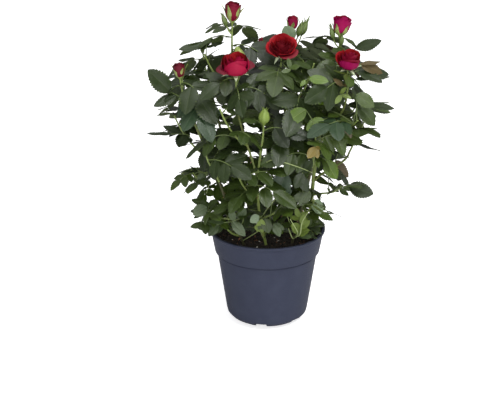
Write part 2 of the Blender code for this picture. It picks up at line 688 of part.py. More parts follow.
def solid(name, shape, surface):
    """An object from vertices and faces, with its faces turned outwards"""
    vertices, faces = shape
    mesh = bpy.data.meshes.new(name)
    mesh.from_pydata([tuple(vertex) for vertex in vertices], [], faces)
    work = bmesh.new()
    work.from_mesh(mesh)
    bmesh.ops.triangulate(work, faces=work.faces)
    bmesh.ops.recalc_face_normals(work, faces=work.faces)
    work.to_mesh(mesh)
    work.free()
    mesh.materials.append(surface)
    made = bpy.data.objects.new(name, mesh)
    bpy.context.scene.collection.objects.link(made)
    return made


def apply_modifiers(made):
    """The object's mesh as its modifiers leave it"""
    before = made.data
    graph = bpy.context.evaluated_depsgraph_get()
    made.data = bpy.data.meshes.new_from_object(made.evaluated_get(graph))
    made.modifiers.clear()
    bpy.data.meshes.remove(before)


def keep_largest_piece(made):
    """Drop loose scraps, so that one body is left"""
    work = bmesh.new()
    work.from_mesh(made.data)
    unseen = set(work.verts)
    pieces = []
    while unseen:
        piece = set()
        edge = [unseen.pop()]
        while edge:
            vertex = edge.pop()
            piece.add(vertex)
            for link in vertex.link_edges:
                other = link.other_vert(vertex)
                if other in unseen:
                    unseen.remove(other)
                    edge.append(other)
        pieces.append(piece)
    pieces.sort(key=len)
    for piece in pieces[:-1]:
        bmesh.ops.delete(work, geom=list(piece), context="VERTS")
    work.to_mesh(made.data)
    work.free()


def fused(name, shapes, surface):
    """One body from overlapping closed shapes, by a single union"""
    body = solid(name, shapes[0], surface)
    others = bpy.data.collections.new(name + "_parts")
    bpy.context.scene.collection.children.link(others)
    for shape in shapes[1:]:
        piece = solid(name + "_part", shape, surface)
        bpy.context.scene.collection.objects.unlink(piece)
        others.objects.link(piece)
    union = body.modifiers.new("union", "BOOLEAN")
    union.operation = "UNION"
    union.operand_type = "COLLECTION"
    union.collection = others
    union.solver = "MANIFOLD"
    apply_modifiers(body)
    for piece in list(others.objects):
        bpy.data.objects.remove(piece)
    bpy.data.collections.remove(others)
    keep_largest_piece(body)


def build_pot():
    """Nursery pot: plain lower wall, a band under the rim, and notches through the edge of its flat foot

    Inside, a ledge runs round the floor over the notches.
    """
    outer = [FOOT, CORNER_BELOW, CORNER, SHOULDER, BAND, BAND_TOP, RIM, (RIM[0], POT_HEIGHT - RIM_BEVEL)]
    top = [(RIM[0] - RIM_BEVEL, POT_HEIGHT), (RIM[0] - RIM_LIP, POT_HEIGHT)]
    inner = [(radius - WALL, height) for radius, height in (BAND_TOP, BAND, SHOULDER, CORNER)]
    floor = [(CORNER_BELOW[0] - WALL, LEDGE_TOP), (LEDGE_INNER[1], LEDGE_TOP),
             (LEDGE_INNER[0], FLOOR_TOP), (0, FLOOR_TOP), (0, 0)]
    pot = solid("pot", turned_shape(outer + top + inner + floor, POT_SIDES), pot_material())
    for count in range(NOTCHES):
        angle = 2 * math.pi * (count + 0.5) / NOTCHES
        notch = bmesh.new()
        place = Matrix.Rotation(angle, 4, "Z") @ Matrix.Translation((FOOT[0], 0, 0))
        bmesh.ops.create_cube(notch, size=1, matrix=place @ Matrix.Diagonal(
            (2 * NOTCH_DEPTH, NOTCH_WIDTH, 2 * NOTCH_HEIGHT, 1)))
        mesh = bpy.data.meshes.new("notch")
        notch.to_mesh(mesh)
        notch.free()
        cutter = bpy.data.objects.new(f"notch_{count}", mesh)
        cutter.hide_render = True
        cutter.display_type = "WIRE"
        bpy.context.scene.collection.objects.link(cutter)
        cut = pot.modifiers.new("notch", "BOOLEAN")
        cut.operation = "DIFFERENCE"
        cut.object = cutter


def build_soil():
    """Root ball: fills the pot to a hair from its wall, with a flat top that falls at the edge"""
    def wall_inside(height):
        turns = [CORNER, SHOULDER, BAND, BAND_TOP]
        for (low_radius, low), (high_radius, high) in zip(turns, turns[1:]):
            if low <= height <= high:
                radius = low_radius + (high_radius - low_radius) * (height - low) / (high - low)
        return radius - WALL - SEAT

    edge = SOIL_TOP - SOIL_EDGE_DROP
    profile = [(0, FLOOR_TOP + CLEARANCE), (LEDGE_INNER[0] - SEAT, FLOOR_TOP + CLEARANCE),
               (LEDGE_INNER[1] - SEAT, LEDGE_TOP + CLEARANCE),
               (CORNER_BELOW[0] - WALL - SEAT, LEDGE_TOP + CLEARANCE)]
    profile += [(wall_inside(height), height) for height in (CORNER[1], SHOULDER[1], edge)]
    profile += [(SOIL_FLAT_RADIUS, SOIL_TOP), (0, SOIL_TOP)]
    solid("soil", turned_shape(profile, POT_SIDES), soil_material())


def rosette(base, axis, rings, sides):
    """A turned body whose rings swell into lobes: each ring has a radius, height, lobe and turn"""
    side = crosswise(axis, Vector((1, 0.2, 0)))
    other = axis.cross(side)
    vertices = []
    for radius, height, lobe, turn in rings:
        for corner in range(sides):
            angle = 2 * math.pi * corner / sides
            swell = lobe * math.cos(PETALS * angle + math.radians(turn))
            out = side * math.cos(angle) + other * math.sin(angle)
            vertices.append(base + out * (radius * (1 + swell)) + axis * (height + radius * swell * 0.7))
    faces = [tuple(range(sides))]
    for step in range(len(rings) - 1):
        for corner in range(sides):
            near = step * sides + corner
            beside = step * sides + (corner + 1) % sides
            faces.append((near, beside, beside + sides, near + sides))
    faces.append(tuple(range((len(rings) - 1) * sides, len(rings) * sides)))
    return vertices, faces


def sepals(base, axis, form, size):
    """Narrow blades that stand out round the foot of a bud"""
    side = crosswise(axis, Vector((1, 0.2, 0)))
    rise = math.radians(form.rise)
    blades = []
    for sepal in range(form.sepals):
        out = side.copy()
        out.rotate(Matrix.Rotation(math.radians(SEPAL_TURN + 360 * sepal / form.sepals), 3, axis))
        along = axis * math.sin(rise) + out * math.cos(rise)
        normal = crosswise(along, axis - out)
        blade = Blade(base, along, normal, form.length * size, form.width * size, SEPAL_FOLD, SEPAL_CURL, 1)
        blades.append(blade_shape(blade))
    return blades


def flower_shapes(flower, base):
    """A bud or bloom on its stalk's tip, with sepals under it"""
    axis = leaning(flower.bearing, flower.lean)
    size = flower.size
    form = FLOWER_FORMS[flower.kind]
    sized = [(radius * size, height * size, lobe, turn) for radius, height, lobe, turn in form.rings]
    foot = base + axis * (SEPAL_HEIGHT * size)
    return [rosette(base, axis, sized, form.sides)] + sepals(foot, axis, form, size)


def build_spray(name, spray, stem, leaves, limb, limb_points, surfaces):
    """One mass: a stem, the leaves on it, and its buds and blooms"""
    radii = (STEM_FOOT_RADIUS, STEM_TIP_RADIUS)
    if spray.share == 1:
        shapes = [tube(stem, (min(radii[0], limb.radii[1]), radii[1]), STEM_SIDES)]
    else:
        shapes = [seated_tube(stem, radii, STEM_SIDES, limb_points, limb_radius(limb, spray.share))]
    shapes += [leaf_shape(leaf) for leaf in leaves]
    for flower in spray.flowers:
        stalk = flower_stalk(flower, stem)
        if stalk:
            shapes.append(tube(stalk, (FLOWER_STALK_RADIUS,) * 2, STEM_SIDES))
        shapes += flower_shapes(flower, stalk[-1] if stalk else stem[-1])
    fused(name, shapes, surfaces["flower" if spray.flowers else "leaf"])


def build_limb(name, limb, path, limbs, surfaces):
    """A cane stands on the soil on its flat foot, and a bough's foot is cut to its cane"""
    if name in CANES:
        shape = tube(path, limb.radii, CANE_SIDES, flat_foot=True)
    else:
        carrier, share = limb.start
        shape = seated_tube(path, limb.radii, CANE_SIDES, limbs[carrier], limb_radius(CANES[carrier], share))
    solid(name, shape, surfaces["cane"])


def build_rose():
    for old in list(bpy.data.objects):
        bpy.data.objects.remove(old)
    surfaces = {"cane": cane_material(), "leaf": leaf_material(), "flower": flower_material()}
    build_pot()
    build_soil()
    limbs, stems, leaves = grow_bush()
    every_limb = {**CANES, **BOUGHS}
    for name, limb in every_limb.items():
        build_limb(name, limb, limbs[name], limbs, surfaces)
    for name, spray in SPRAYS.items():
        limb = every_limb[spray.limb]
        build_spray(name, spray, stems[name], leaves[name], limb, limbs[spray.limb], surfaces)


build_rose()
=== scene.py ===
import json
import math
import random
from collections import namedtuple

import bmesh
import bpy
import numpy as np
from mathutils import Matrix, Vector
from mathutils.bvhtree import BVHTree

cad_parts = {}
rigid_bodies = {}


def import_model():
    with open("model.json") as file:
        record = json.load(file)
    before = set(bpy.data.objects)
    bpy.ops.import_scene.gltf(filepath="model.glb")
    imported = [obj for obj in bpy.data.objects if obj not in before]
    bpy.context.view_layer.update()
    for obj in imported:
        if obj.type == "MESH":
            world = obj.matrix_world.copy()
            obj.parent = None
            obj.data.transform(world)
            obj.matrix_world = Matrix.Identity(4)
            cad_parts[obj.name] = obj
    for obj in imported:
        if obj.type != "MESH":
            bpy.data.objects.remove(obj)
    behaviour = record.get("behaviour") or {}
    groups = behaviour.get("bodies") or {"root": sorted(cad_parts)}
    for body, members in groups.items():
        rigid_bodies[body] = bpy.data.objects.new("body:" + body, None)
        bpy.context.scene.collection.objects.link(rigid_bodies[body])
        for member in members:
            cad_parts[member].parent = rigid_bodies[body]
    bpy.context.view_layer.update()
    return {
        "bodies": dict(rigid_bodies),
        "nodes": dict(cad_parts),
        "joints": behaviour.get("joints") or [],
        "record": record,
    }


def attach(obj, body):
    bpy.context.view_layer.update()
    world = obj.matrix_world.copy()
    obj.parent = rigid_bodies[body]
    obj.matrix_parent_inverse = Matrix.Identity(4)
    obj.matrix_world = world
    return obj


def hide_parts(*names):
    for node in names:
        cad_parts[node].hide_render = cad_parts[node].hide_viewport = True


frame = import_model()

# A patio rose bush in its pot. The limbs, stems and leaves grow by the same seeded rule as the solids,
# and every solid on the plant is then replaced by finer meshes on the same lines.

up = Vector((0, 0, 1))

camera = {
    "place": (0.0, -2.0364, 0.9624),     # metres
    "lookAt": (-0.0255, 0.0, 0.1835),
    "focalPixels": 1490.7,
    "framePixels": (500, 400),
    "sensor": 36.0,                      # millimetres
}


def aimAt(thing, target):
    thing.rotation_euler = (Vector(target) - thing.location).to_track_quat("-Z", "Y").to_euler()


def makeCamera():
    data = bpy.data.cameras.new("view")
    data.sensor_width = camera["sensor"]
    data.lens = camera["focalPixels"] * camera["sensor"] / camera["framePixels"][0]
    data.clip_start = 0.05
    data.clip_end = 50
    made = bpy.data.objects.new("view", data)
    made.location = camera["place"]
    aimAt(made, camera["lookAt"])
    bpy.context.scene.collection.objects.link(made)
    bpy.context.scene.camera = made


makeCamera()
print("camera placed")

# Growth: the paths of canes, boughs and stems, and where each leaf sits

growth = {
    "clearance": 0.0003,
    "spare": 0.0005,          # room kept round everything while growing
    "soilTop": 0.127,
    "caneSteps": 6,
    "stemSteps": 4,
    "stemTries": 16,
    "leafTries": 18,
    "tuftSize": 0.6,          # sprays smaller than this have leaves of three
    "stemRadii": (0.0015, 0.0011),
    "budStalkRadius": 0.0009,
    "goldenAngle": 137.5,
}
leafForm = {
    "length": 0.046,          # the end leaflet's
    "width": 0.60,            # the rest are shares of it
    "thick": 0.016,
    "petiole": 0.45,
    "pairSpacing": 0.42,
    "endStalk": 0.32,
    "pairSizes": (0.76, 0.90),
    "pairAngles": (73, 56),
    "anglePlay": 4,
    "stalkSteps": 3,
    "stalkRadii": (0.0010, 0.0007),
    "rootHalfWidth": 0.0009,
    "shoulders": {1: ((0.42, 0.5),), 2: ((0.22, 0.37), (0.62, 0.45))},   # share along and half-width
    "middle": 0.44,
    "rise": 34,
    "risePlay": 16,
    "droop": 50,
    "droopPlay": 26,
    "roll": 30,
    "facing": (0.35, 1.0),    # how far the upper sides turn from the sky to the outside
}
crown = {
    "outline": ((0.11, 0.110), (0.15, 0.130), (0.20, 0.158), (0.30, 0.182), (0.39, 0.182), (0.44, 0.15),
                (0.49, 0.09)),
    "depth": 0.92,
    "middle": Vector((0.004, 0.006, 0)),
    "half": 0.17,
    "foot": (0.130, 0.32),    # lowest leaf tips, and how they rise towards the front
}
flowerRoom = {"bloom": (0.036, 0.029), "half": (0.034, 0.021), "bud": (0.033, 0.012), "green": (0.024, 0.007)}

Limb = namedtuple("Limb", "start end bow radii")
Spray = namedtuple("Spray", "limb share tip leaves size turn seed flowers")
Flower = namedtuple("Flower", "kind share stalk bearing lean size")
Leaf = namedtuple("Leaf", "stalk facing places blades")
Blade = namedtuple("Blade", "root along normal length width fold curl shoulders")

# Canes: foot on the soil, head, sideways bow of the middle, and foot and head radius
canes = {
    "cane_front": Limb((-0.002, -0.030), (-0.0085, -0.078, 0.290), (-0.008, -0.004), (0.0022, 0.0016)),
    "cane_right": Limb((0.065, 0.008), (0.0970, 0.002, 0.385), (-0.010, 0.000), (0.0032, 0.0018)),
    "cane_left": Limb((-0.050, 0.004), (-0.114, -0.026, 0.335), (0.004, 0.004), (0.0028, 0.0016)),
    "cane_middle": Limb((-0.022, 0.026), (-0.051, 0.019, 0.395), (-0.004, 0.010), (0.0028, 0.0016)),
    "cane_centre": Limb((0.020, 0.014), (0.018, -0.012, 0.365), (0.010, 0.004), (0.0029, 0.0017)),
    "cane_back_right": Limb((0.046, 0.044), (0.086, 0.084, 0.335), (0.002, 0.006), (0.0027, 0.0016)),
    "cane_back_left": Limb((-0.042, 0.050), (-0.086, 0.084, 0.330), (0.002, 0.006), (0.0027, 0.0016)),
    "cane_rear": Limb((0.004, 0.060), (-0.004, 0.112, 0.310), (0.000, 0.008), (0.0026, 0.0016)),
    "cane_front_right": Limb((0.036, -0.030), (0.062, -0.078, 0.262), (0.000, -0.004), (0.0021, 0.0015)),
    "cane_front_left": Limb((-0.034, -0.034), (-0.068, -0.072, 0.238), (0.000, -0.004), (0.0021, 0.0015)),
}

# Boughs leave a cane at a share of its height
boughs = {
    "bough_front": Limb(("cane_front", 0.66), (-0.0440, -0.058, 0.362), (-0.004, 0.004), (0.0017, 0.0013)),
    "bough_right_front": Limb(("cane_right", 0.52), (0.110, -0.046, 0.36), (0.004, -0.006), (0.0018, 0.0014)),
    "bough_right": Limb(("cane_right", 0.32), (0.118, -0.008, 0.262), (0.004, 0.000), (0.0018, 0.0014)),
    "bough_back": Limb(("cane_centre", 0.55), (0.034, 0.042, 0.378), (0.004, 0.008), (0.0018, 0.0013)),
}

# Sprays: limb and share of it, stem's end, leaves and their size, first bearing, seed, flowers
sprays = {
    "spray_tall_bud": Spray("cane_middle", 1, (-0.051, 0.020, 0.4435), 3, 0.90, 45, 1208, (
        Flower("bud", 1, 0, 0, 4, 1.0), Flower("green", 0.66, 0.016, 185, 20, 0.8))),
    "spray_left_bloom": Spray("bough_front", 1, (-0.0440, -0.061, 0.3920), 2, 0.80, 210, 212, (
        Flower("bloom", 1, 0, 262, 14, 1.0), Flower("green", 0.4, 0.030, 60, 18, 1.0))),
    "spray_middle_bloom": Spray("cane_centre", 1, (0.0190, -0.021, 0.4100), 3, 0.90, 105, 564, (
        Flower("bloom", 1, 0, 270, 30, 0.92),)),
    "spray_back_bud": Spray("bough_back", 1, (0.0335, 0.040, 0.4270), 2, 0.85, 180, 179, (
        Flower("bud", 1, 0, 0, 5, 0.72), Flower("green", 0.5, 0.022, 330, 18, 1.0),
        Flower("green", 0.3, 0.032, 20, 22, 1.0))),
    "spray_right_bud": Spray("cane_right", 1, (0.1010, 0.000, 0.4340), 2, 0.95, 120, 1143, (
        Flower("bud", 1, 0, 10, 8, 0.95), Flower("green", 0.55, 0.018, 190, 14, 0.8),
        Flower("green", 0.45, 0.014, 290, 10, 0.7))),
    "spray_right_bloom": Spray("bough_right_front", 1, (0.1100, -0.049, 0.3950), 2, 0.90, 80, 161, (
        Flower("half", 1, 0, 285, 16, 1.0),)),
    "spray_left_bud": Spray("cane_left", 1, (-0.1230, -0.030, 0.3760), 3, 1.0, 320, 963, (
        Flower("bud", 1, 0, 170, 5, 0.62), Flower("green", 0.4, 0.024, 100, 20, 0.6))),
    "spray_green_bud": Spray("cane_front", 1, (-0.0055, -0.089, 0.3300), 2, 0.90, 0, 368, (
        Flower("green", 1, 0, 0, 4, 1.25),)),
    "spray_high_left": Spray("cane_middle", 0.80, (-0.090, 0.006, 0.402), 3, 1.0, 50, 77, ()),
    "spray_left": Spray("cane_left", 0.60, (-0.134, 0.000, 0.312), 3, 1.0, 55, 501, ()),
    "spray_left_low": Spray("cane_left", 0.36, (-0.110, -0.018, 0.236), 3, 0.85, 55, 1068, ()),
    "spray_front_left": Spray("cane_front_left", 1, (-0.086, -0.090, 0.286), 3, 1.0, 260, 116, ()),
    "spray_rim_left": Spray("cane_front_left", 0.42, (-0.096, -0.058, 0.190), 3, 0.70, 230, 767, ()),
    "spray_front_high": Spray("bough_front", 0.42, (-0.066, -0.086, 0.350), 2, 0.95, 45, 417, ()),
    "spray_front": Spray("cane_front", 0.52, (-0.042, -0.100, 0.262), 3, 0.95, 255, 200, ()),
    "spray_front_low": Spray("cane_front", 0.28, (0.020, -0.076, 0.205), 3, 0.75, 275, 550, ()),
    "spray_centre": Spray("cane_centre", 0.62, (0.028, -0.066, 0.340), 3, 1.0, 30, 445, ()),
    "spray_centre_low": Spray("cane_centre", 0.30, (-0.012, -0.006, 0.262), 2, 0.90, 210, 459, ()),
    "spray_centre_right": Spray("cane_centre", 0.82, (0.064, -0.034, 0.400), 3, 1.0, 125, 1383, ()),
    "spray_front_right": Spray("cane_front_right", 1, (0.066, -0.092, 0.312), 3, 1.0, 320, 291, ()),
    "spray_rim_right": Spray("cane_front_right", 0.40, (0.066, -0.072, 0.212), 3, 0.75, 185, 88, ()),
    "spray_right": Spray("bough_right", 1, (0.140, -0.016, 0.322), 3, 1.0, 125, 42, ()),
    "spray_right_front": Spray("bough_right_front", 0.50, (0.124, -0.074, 0.330), 3, 1.0, 285, 597, ()),
    "spray_high_right": Spray("cane_right", 0.80, (0.126, 0.020, 0.402), 3, 1.0, 90, 240, ()),
    "spray_right_low": Spray("cane_right", 0.24, (0.104, -0.010, 0.206), 3, 0.85, 310, 1810, ()),
    "spray_back_right": Spray("cane_back_right", 1, (0.092, 0.096, 0.386), 3, 1.0, 260, 88, ()),
    "spray_side_back_right": Spray("cane_back_right", 0.60, (0.132, 0.068, 0.310), 3, 1.0, 335, 186, ()),
    "spray_low_back_right": Spray("cane_back_right", 0.34, (0.098, 0.092, 0.222), 3, 0.9, 240, 67, ()),
    "spray_back_left": Spray("cane_back_left", 1, (-0.096, 0.090, 0.380), 3, 1.0, 110, 200, (
        Flower("bud", 1, 0, 140, 10, 0.8),)),
    "spray_side_back_left": Spray("cane_back_left", 0.62, (-0.130, 0.066, 0.305), 3, 1.0, 45, 312, ()),
    "spray_low_back_left": Spray("cane_back_left", 0.34, (-0.094, 0.088, 0.218), 2, 0.9, 115, 403, ()),
    "spray_rear": Spray("cane_rear", 1, (-0.004, 0.124, 0.370), 3, 0.95, 255, 88, (
        Flower("bloom", 1, 0, 90, 20, 0.85),)),
    "spray_rear_right": Spray("cane_rear", 0.66, (0.044, 0.132, 0.300), 2, 1.0, 60, 12, ()),
    "spray_rear_left": Spray("cane_rear", 0.46, (-0.042, 0.128, 0.258), 2, 1.0, 225, 396, ()),
    "spray_high_back": Spray("bough_back", 0.55, (0.052, 0.080, 0.372), 2, 1.0, 165, 25, ()),
    "spray_high_middle": Spray("cane_middle", 0.58, (-0.040, 0.074, 0.368), 3, 1.0, 325, 277, ()),
    "tuft_right": Spray("cane_right", 0.09, (0.070, -0.018, 0.166), 3, 0.58, 280, 382, ()),
    "tuft_front": Spray("cane_front", 0.12, (0.010, -0.054, 0.166), 3, 0.58, 300, 67, ()),
    "tuft_left": Spray("cane_front_left", 0.15, (-0.062, -0.056, 0.168), 3, 0.58, 170, 452, ()),
    "tuft_middle": Spray("cane_middle", 0.07, (-0.030, -0.006, 0.166), 3, 0.58, 265, 109, ()),
    "tuft_front_right": Spray("cane_front_right", 0.10, (0.047, -0.054, 0.160), 3, 0.55, 0, 410, ()),
}


def bearingVector(degrees):
    angle = math.radians(degrees)
    return Vector((math.cos(angle), math.sin(angle), 0))


def pointOn(path, share):
    place = min(max(share, 0), 1) * (len(path) - 1)
    step = min(int(place), len(path) - 2)
    return path[step].lerp(path[step + 1], place - step)


def directionOn(path, share):
    step = min(int(min(max(share, 0), 1) * (len(path) - 1)), len(path) - 2)
    return (path[step + 1] - path[step]).normalized()


def bowedPath(start, end, bow, steps):
    shares = [step / steps for step in range(steps + 1)]
    return [start.lerp(end, share) + bow * (4 * share * (1 - share)) for share in shares]


def curvedPath(start, leaving, end, arriving, steps):
    pull = (end - start).length / 3
    inner = start + leaving * pull
    outer = end - arriving * pull
    points = []
    for step in range(steps + 1):
        share = step / steps
        rest = 1 - share
        points.append(start * rest ** 3 + inner * (3 * rest * rest * share)
                      + outer * (3 * rest * share * share) + end * share ** 3)
    return points


def crosswise(direction, hint):
    return (hint - direction * hint.dot(direction)).normalized()


def ringFaces(steps, sides):             # the quads between rings that follow each other
    faces = []
    for step in range(steps):
        for corner in range(sides):
            near = step * sides + corner
            beside = step * sides + (corner + 1) % sides
            faces.append((near, beside, beside + sides, near + sides))
    return faces


def roughTube(path, radii, sides):       # only for testing what is in the way
    first = directionOn(path, 0)
    side = crosswise(first, Vector((1, 0.3, 0)) if abs(first.x) < 0.8 else Vector((0.2, 1, 0)))
    vertices = []
    last = len(path) - 1
    for step, centre in enumerate(path):
        before = path[max(step - 1, 0)]
        after = path[min(step + 1, last)]
        direction = (after - before).normalized()
        side = crosswise(direction, side)
        other = direction.cross(side)
        place = step / last * (len(radii) - 1)
        whole = min(int(place), len(radii) - 2)
        radius = radii[whole] + (radii[whole + 1] - radii[whole]) * (place - whole)
        for corner in range(sides):
            turn = 2 * math.pi * corner / sides
            vertices.append(centre + (side * math.cos(turn) + other * math.sin(turn)) * radius)
    ends = tuple(reversed(range(sides))), tuple(range(last * sides, (last + 1) * sides))
    return vertices, [ends[0], *ringFaces(last, sides), ends[1]]


def bladePoints(blade, spare=0):
    across = blade.along.cross(blade.normal)
    halfThick = blade.length * leafForm["thick"] / 2 + spare

    def at(share, sideways, lift):
        drop = blade.curl * blade.length * share * share
        rise = blade.fold * abs(sideways) * blade.width
        place = blade.along * (share * blade.length) + across * (sideways * blade.width)
        return blade.root + place + blade.normal * (lift + rise - drop)

    sides = leafForm["shoulders"][blade.shoulders]
    rim = [at(share, width, 0) for share, width in sides]
    rim.append(at(1, 0, 0))
    rim += [at(share, -width, 0) for share, width in reversed(sides)]
    return rim, at(leafForm["middle"], 0, halfThick), at(leafForm["middle"], 0, -halfThick)


def openOut(vertices, faces, top, bottom, blade, spare=0):
    rim, middle, under = bladePoints(blade, spare)
    first = len(vertices)
    vertices += rim + [middle, under]
    rim = list(range(first, first + len(rim)))
    for edge, centre in ((top, len(vertices) - 2), (bottom, len(vertices) - 1)):
        chain = [edge[0]] + rim + [edge[1]]
        faces += [(one, other, centre) for one, other in zip(chain, chain[1:])]
        if edge[0] != edge[1]:
            faces.append((edge[1], edge[0], centre))
    faces.append((top[0], bottom[0], rim[0]))
    faces.append((top[1], bottom[1], rim[-1]))


class Guards:                                        # the room already taken, with a ball round each piece
    def __init__(self):
        self.taken = []

    def add(self, owner, shapes):
        for vertices, faces in shapes:
            self.taken.append((owner, *ballRound(vertices), BVHTree.FromPolygons(vertices, faces)))

    def meets(self, vertices, faces, skip=()):
        centre, radius = ballRound(vertices)
        tree = None
        for owner, other, reach, taken in self.taken:
            if owner in skip or (other - centre).length > reach + radius:
                continue
            tree = tree or BVHTree.FromPolygons(vertices, faces)
            if tree.overlap(taken):
                return True
        return False


def ballRound(vertices):
    centre = sum(vertices, Vector()) / len(vertices)
    return centre, max((vertex - centre).length for vertex in vertices)


def insideCrown(point):
    heights = crown["outline"]
    level, rise = crown["foot"]
    foot = level + rise * max(-point.y, 0)
    if not max(foot, heights[0][0]) < point.z < heights[-1][0]:
        return False
    for (low, lowHalf), (high, highHalf) in zip(heights, heights[1:]):
        if low <= point.z <= high:
            half = lowHalf + (highHalf - lowHalf) * (point.z - low) / (high - low)
    offset = point - crown["middle"]
    return (offset.x / half) ** 2 + (offset.y / (half * crown["depth"])) ** 2 < 1


def growLeaf(stem, share, bearing, size, pairs, rng):
    outward = bearingVector(bearing)
    rise = math.radians(leafForm["rise"] + rng.uniform(-leafForm["risePlay"], leafForm["risePlay"]))
    droop = math.radians(leafForm["droop"] + rng.uniform(-leafForm["droopPlay"], leafForm["droopPlay"]))
    length = size * leafForm["length"]
    sections = [leafForm["petiole"], *[leafForm["pairSpacing"]] * (pairs - 1), leafForm["endStalk"]]
    stalkLength = length * sum(sections)
    stalk = [pointOn(stem, share)]
    for step in range(leafForm["stalkSteps"]):
        angle = rise - droop * (step + 0.5) / leafForm["stalkSteps"]
        stalk.append(stalk[-1] + (outward * math.cos(angle) + up * math.sin(angle))
                     * (stalkLength / leafForm["stalkSteps"]))
    fromMiddle = (stalk[-1] - crown["middle"]) * Vector((1, 1, 0)) / crown["half"]
    facing = (up + fromMiddle * rng.uniform(*leafForm["facing"])).normalized()
    facing.rotate(Matrix.Rotation(math.radians(rng.uniform(-leafForm["roll"], leafForm["roll"])), 3, outward))
    places = [length * sum(sections[:pair + 1]) / stalkLength for pair in range(pairs)]
    blades = []

    def addBlade(place, turned, sizeShare):
        tangent, normal, across = stalkFrame(stalk, place, facing)
        along = tangent * math.cos(math.radians(turned)) + across * math.sin(math.radians(turned))
        along = (along - normal * rng.uniform(0.02, 0.24)).normalized()
        tilted = crosswise(along, normal + across * rng.uniform(-0.2, 0.2))
        bladeLength = length * sizeShare * rng.uniform(0.94, 1.06)
        width = bladeLength * leafForm["width"]
        blades.append(Blade(pointOn(stalk, place), along, tilted, bladeLength, width,
                            rng.uniform(0.02, 0.22), rng.uniform(0.04, 0.20), 2 if sizeShare > 0.8 else 1))

    play = leafForm["anglePlay"]
    for pair, place in enumerate(places, len(leafForm["pairSizes"]) - pairs):
        for side in (1, -1):
            addBlade(place, side * (leafForm["pairAngles"][pair] + rng.uniform(-play, play)),
                     leafForm["pairSizes"][pair])
    addBlade(1, 0, 1)
    return Leaf(stalk, facing, places, blades)


def stalkFrame(stalk, place, facing):
    tangent = directionOn(stalk, place)
    normal = crosswise(tangent, facing)
    return tangent, normal, tangent.cross(normal)


def leafRoom(leaf, spare):
    halfRoot = leafForm["rootHalfWidth"] / sum((b - a).length for a, b in zip(leaf.stalk, leaf.stalk[1:]))
    rings = [0]
    for place in leaf.places:
        rings += [place - halfRoot, place + halfRoot]
    rings.append(1)
    thickFoot, thinTip = leafForm["stalkRadii"]
    vertices = []
    faces = []
    for ring in rings:
        radius = thickFoot + (thinTip - thickFoot) * ring + spare
        _, normal, across = stalkFrame(leaf.stalk, ring, leaf.facing)
        centre = pointOn(leaf.stalk, ring)
        for right, high in ((0.87, 0.5), (-0.87, 0.5), (0, -1)):
            vertices.append(centre + (across * right + normal * high) * radius)
    faces.append((0, 1, 2))
    blades = list(leaf.blades)
    for step in range(len(rings) - 1):
        right, left, low = step * 3, step * 3 + 1, step * 3 + 2
        faces.append((right, left, left + 3, right + 3))
        if step % 2 == 1:
            openOut(vertices, faces, (right, right + 3), (low, low + 3), blades.pop(0), spare)
            openOut(vertices, faces, (left + 3, left), (low + 3, low), blades.pop(0), spare)
        else:
            faces.append((right, right + 3, low + 3, low))
            faces.append((left + 3, left, low, low + 3))
    last = 3 * (len(rings) - 1)
    openOut(vertices, faces, (last, last + 1), (last + 2, last + 2), blades.pop(0), spare)
    return vertices, faces


def leafFits(room, leaf, owner, middle, reach, guards):
    for blade in leaf.blades:
        tip = blade.root + blade.along * blade.length
        if not insideCrown(tip) or (tip - middle).length > reach:
            return False
    vertices, faces = room
    if guards.meets(vertices, faces, skip=(owner,)):
        return False
    return not guards.meets(vertices, [face for face in faces if min(face) > 2])


def growLeaves(name, spray, stem, guards):
    rng = random.Random(spray.seed)
    middle = pointOn(stem, 0.5)
    reach = (stem[-1] - stem[0]).length / 2 + leafForm["length"] * 2.2
    leaves = []
    for count in range(spray.leaves):
        share = 0.14 + 0.80 * (spray.leaves - count - 0.5) / spray.leaves
        pairs = 1 if spray.size < growth["tuftSize"] or (spray.flowers and count == 0) else 2
        bearing = spray.turn + growth["goldenAngle"] * count
        for attempt in range(growth["leafTries"]):
            spread = 10 + attempt * 8
            size = spray.size * rng.uniform(0.88, 1.08) * (1 - 0.012 * attempt)
            place = share + rng.uniform(-0.06, 0.06)
            leaf = growLeaf(stem, place, bearing + rng.uniform(-spread, spread), size, pairs, rng)
            room = leafRoom(leaf, growth["spare"])
            if leafFits(room, leaf, name, middle, reach, guards):
                leaves.append(leaf)
                guards.add(name, [room])
                break
    return leaves


def canePath(limb):
    start = Vector((*limb.start, growth["soilTop"] + growth["clearance"]))
    return bowedPath(start, Vector(limb.end), Vector((*limb.bow, 0)), growth["caneSteps"])


def boughPath(limb, cane):
    steps = growth["caneSteps"]
    start = pointOn(cane, limb.start[1])
    end = Vector(limb.end)
    leaving = (directionOn(cane, limb.start[1]) * 0.5 + (end - start).normalized()).normalized()
    bow = Vector((*limb.bow, 0))
    path = curvedPath(start, leaving, end, (end - start + up * 0.05).normalized(), steps)
    shares = [step / steps for step in range(steps + 1)]
    return [point + bow * (6 * share * share * (1 - share)) for share, point in zip(shares, path)]


def stemPath(spray, limbPoints, sway):
    end = Vector(spray.tip)
    heading = directionOn(limbPoints, spray.share)
    start = pointOn(limbPoints, spray.share)
    aim = (end - start).normalized()
    if spray.share == 1:
        start = start + heading * growth["clearance"]
        leaving = heading
    else:
        leaving = (crosswise(heading, aim + sway) * 0.85 + heading * 0.5).normalized()
    return curvedPath(start, leaving, end, (aim + up * 0.8).normalized(), growth["stemSteps"])


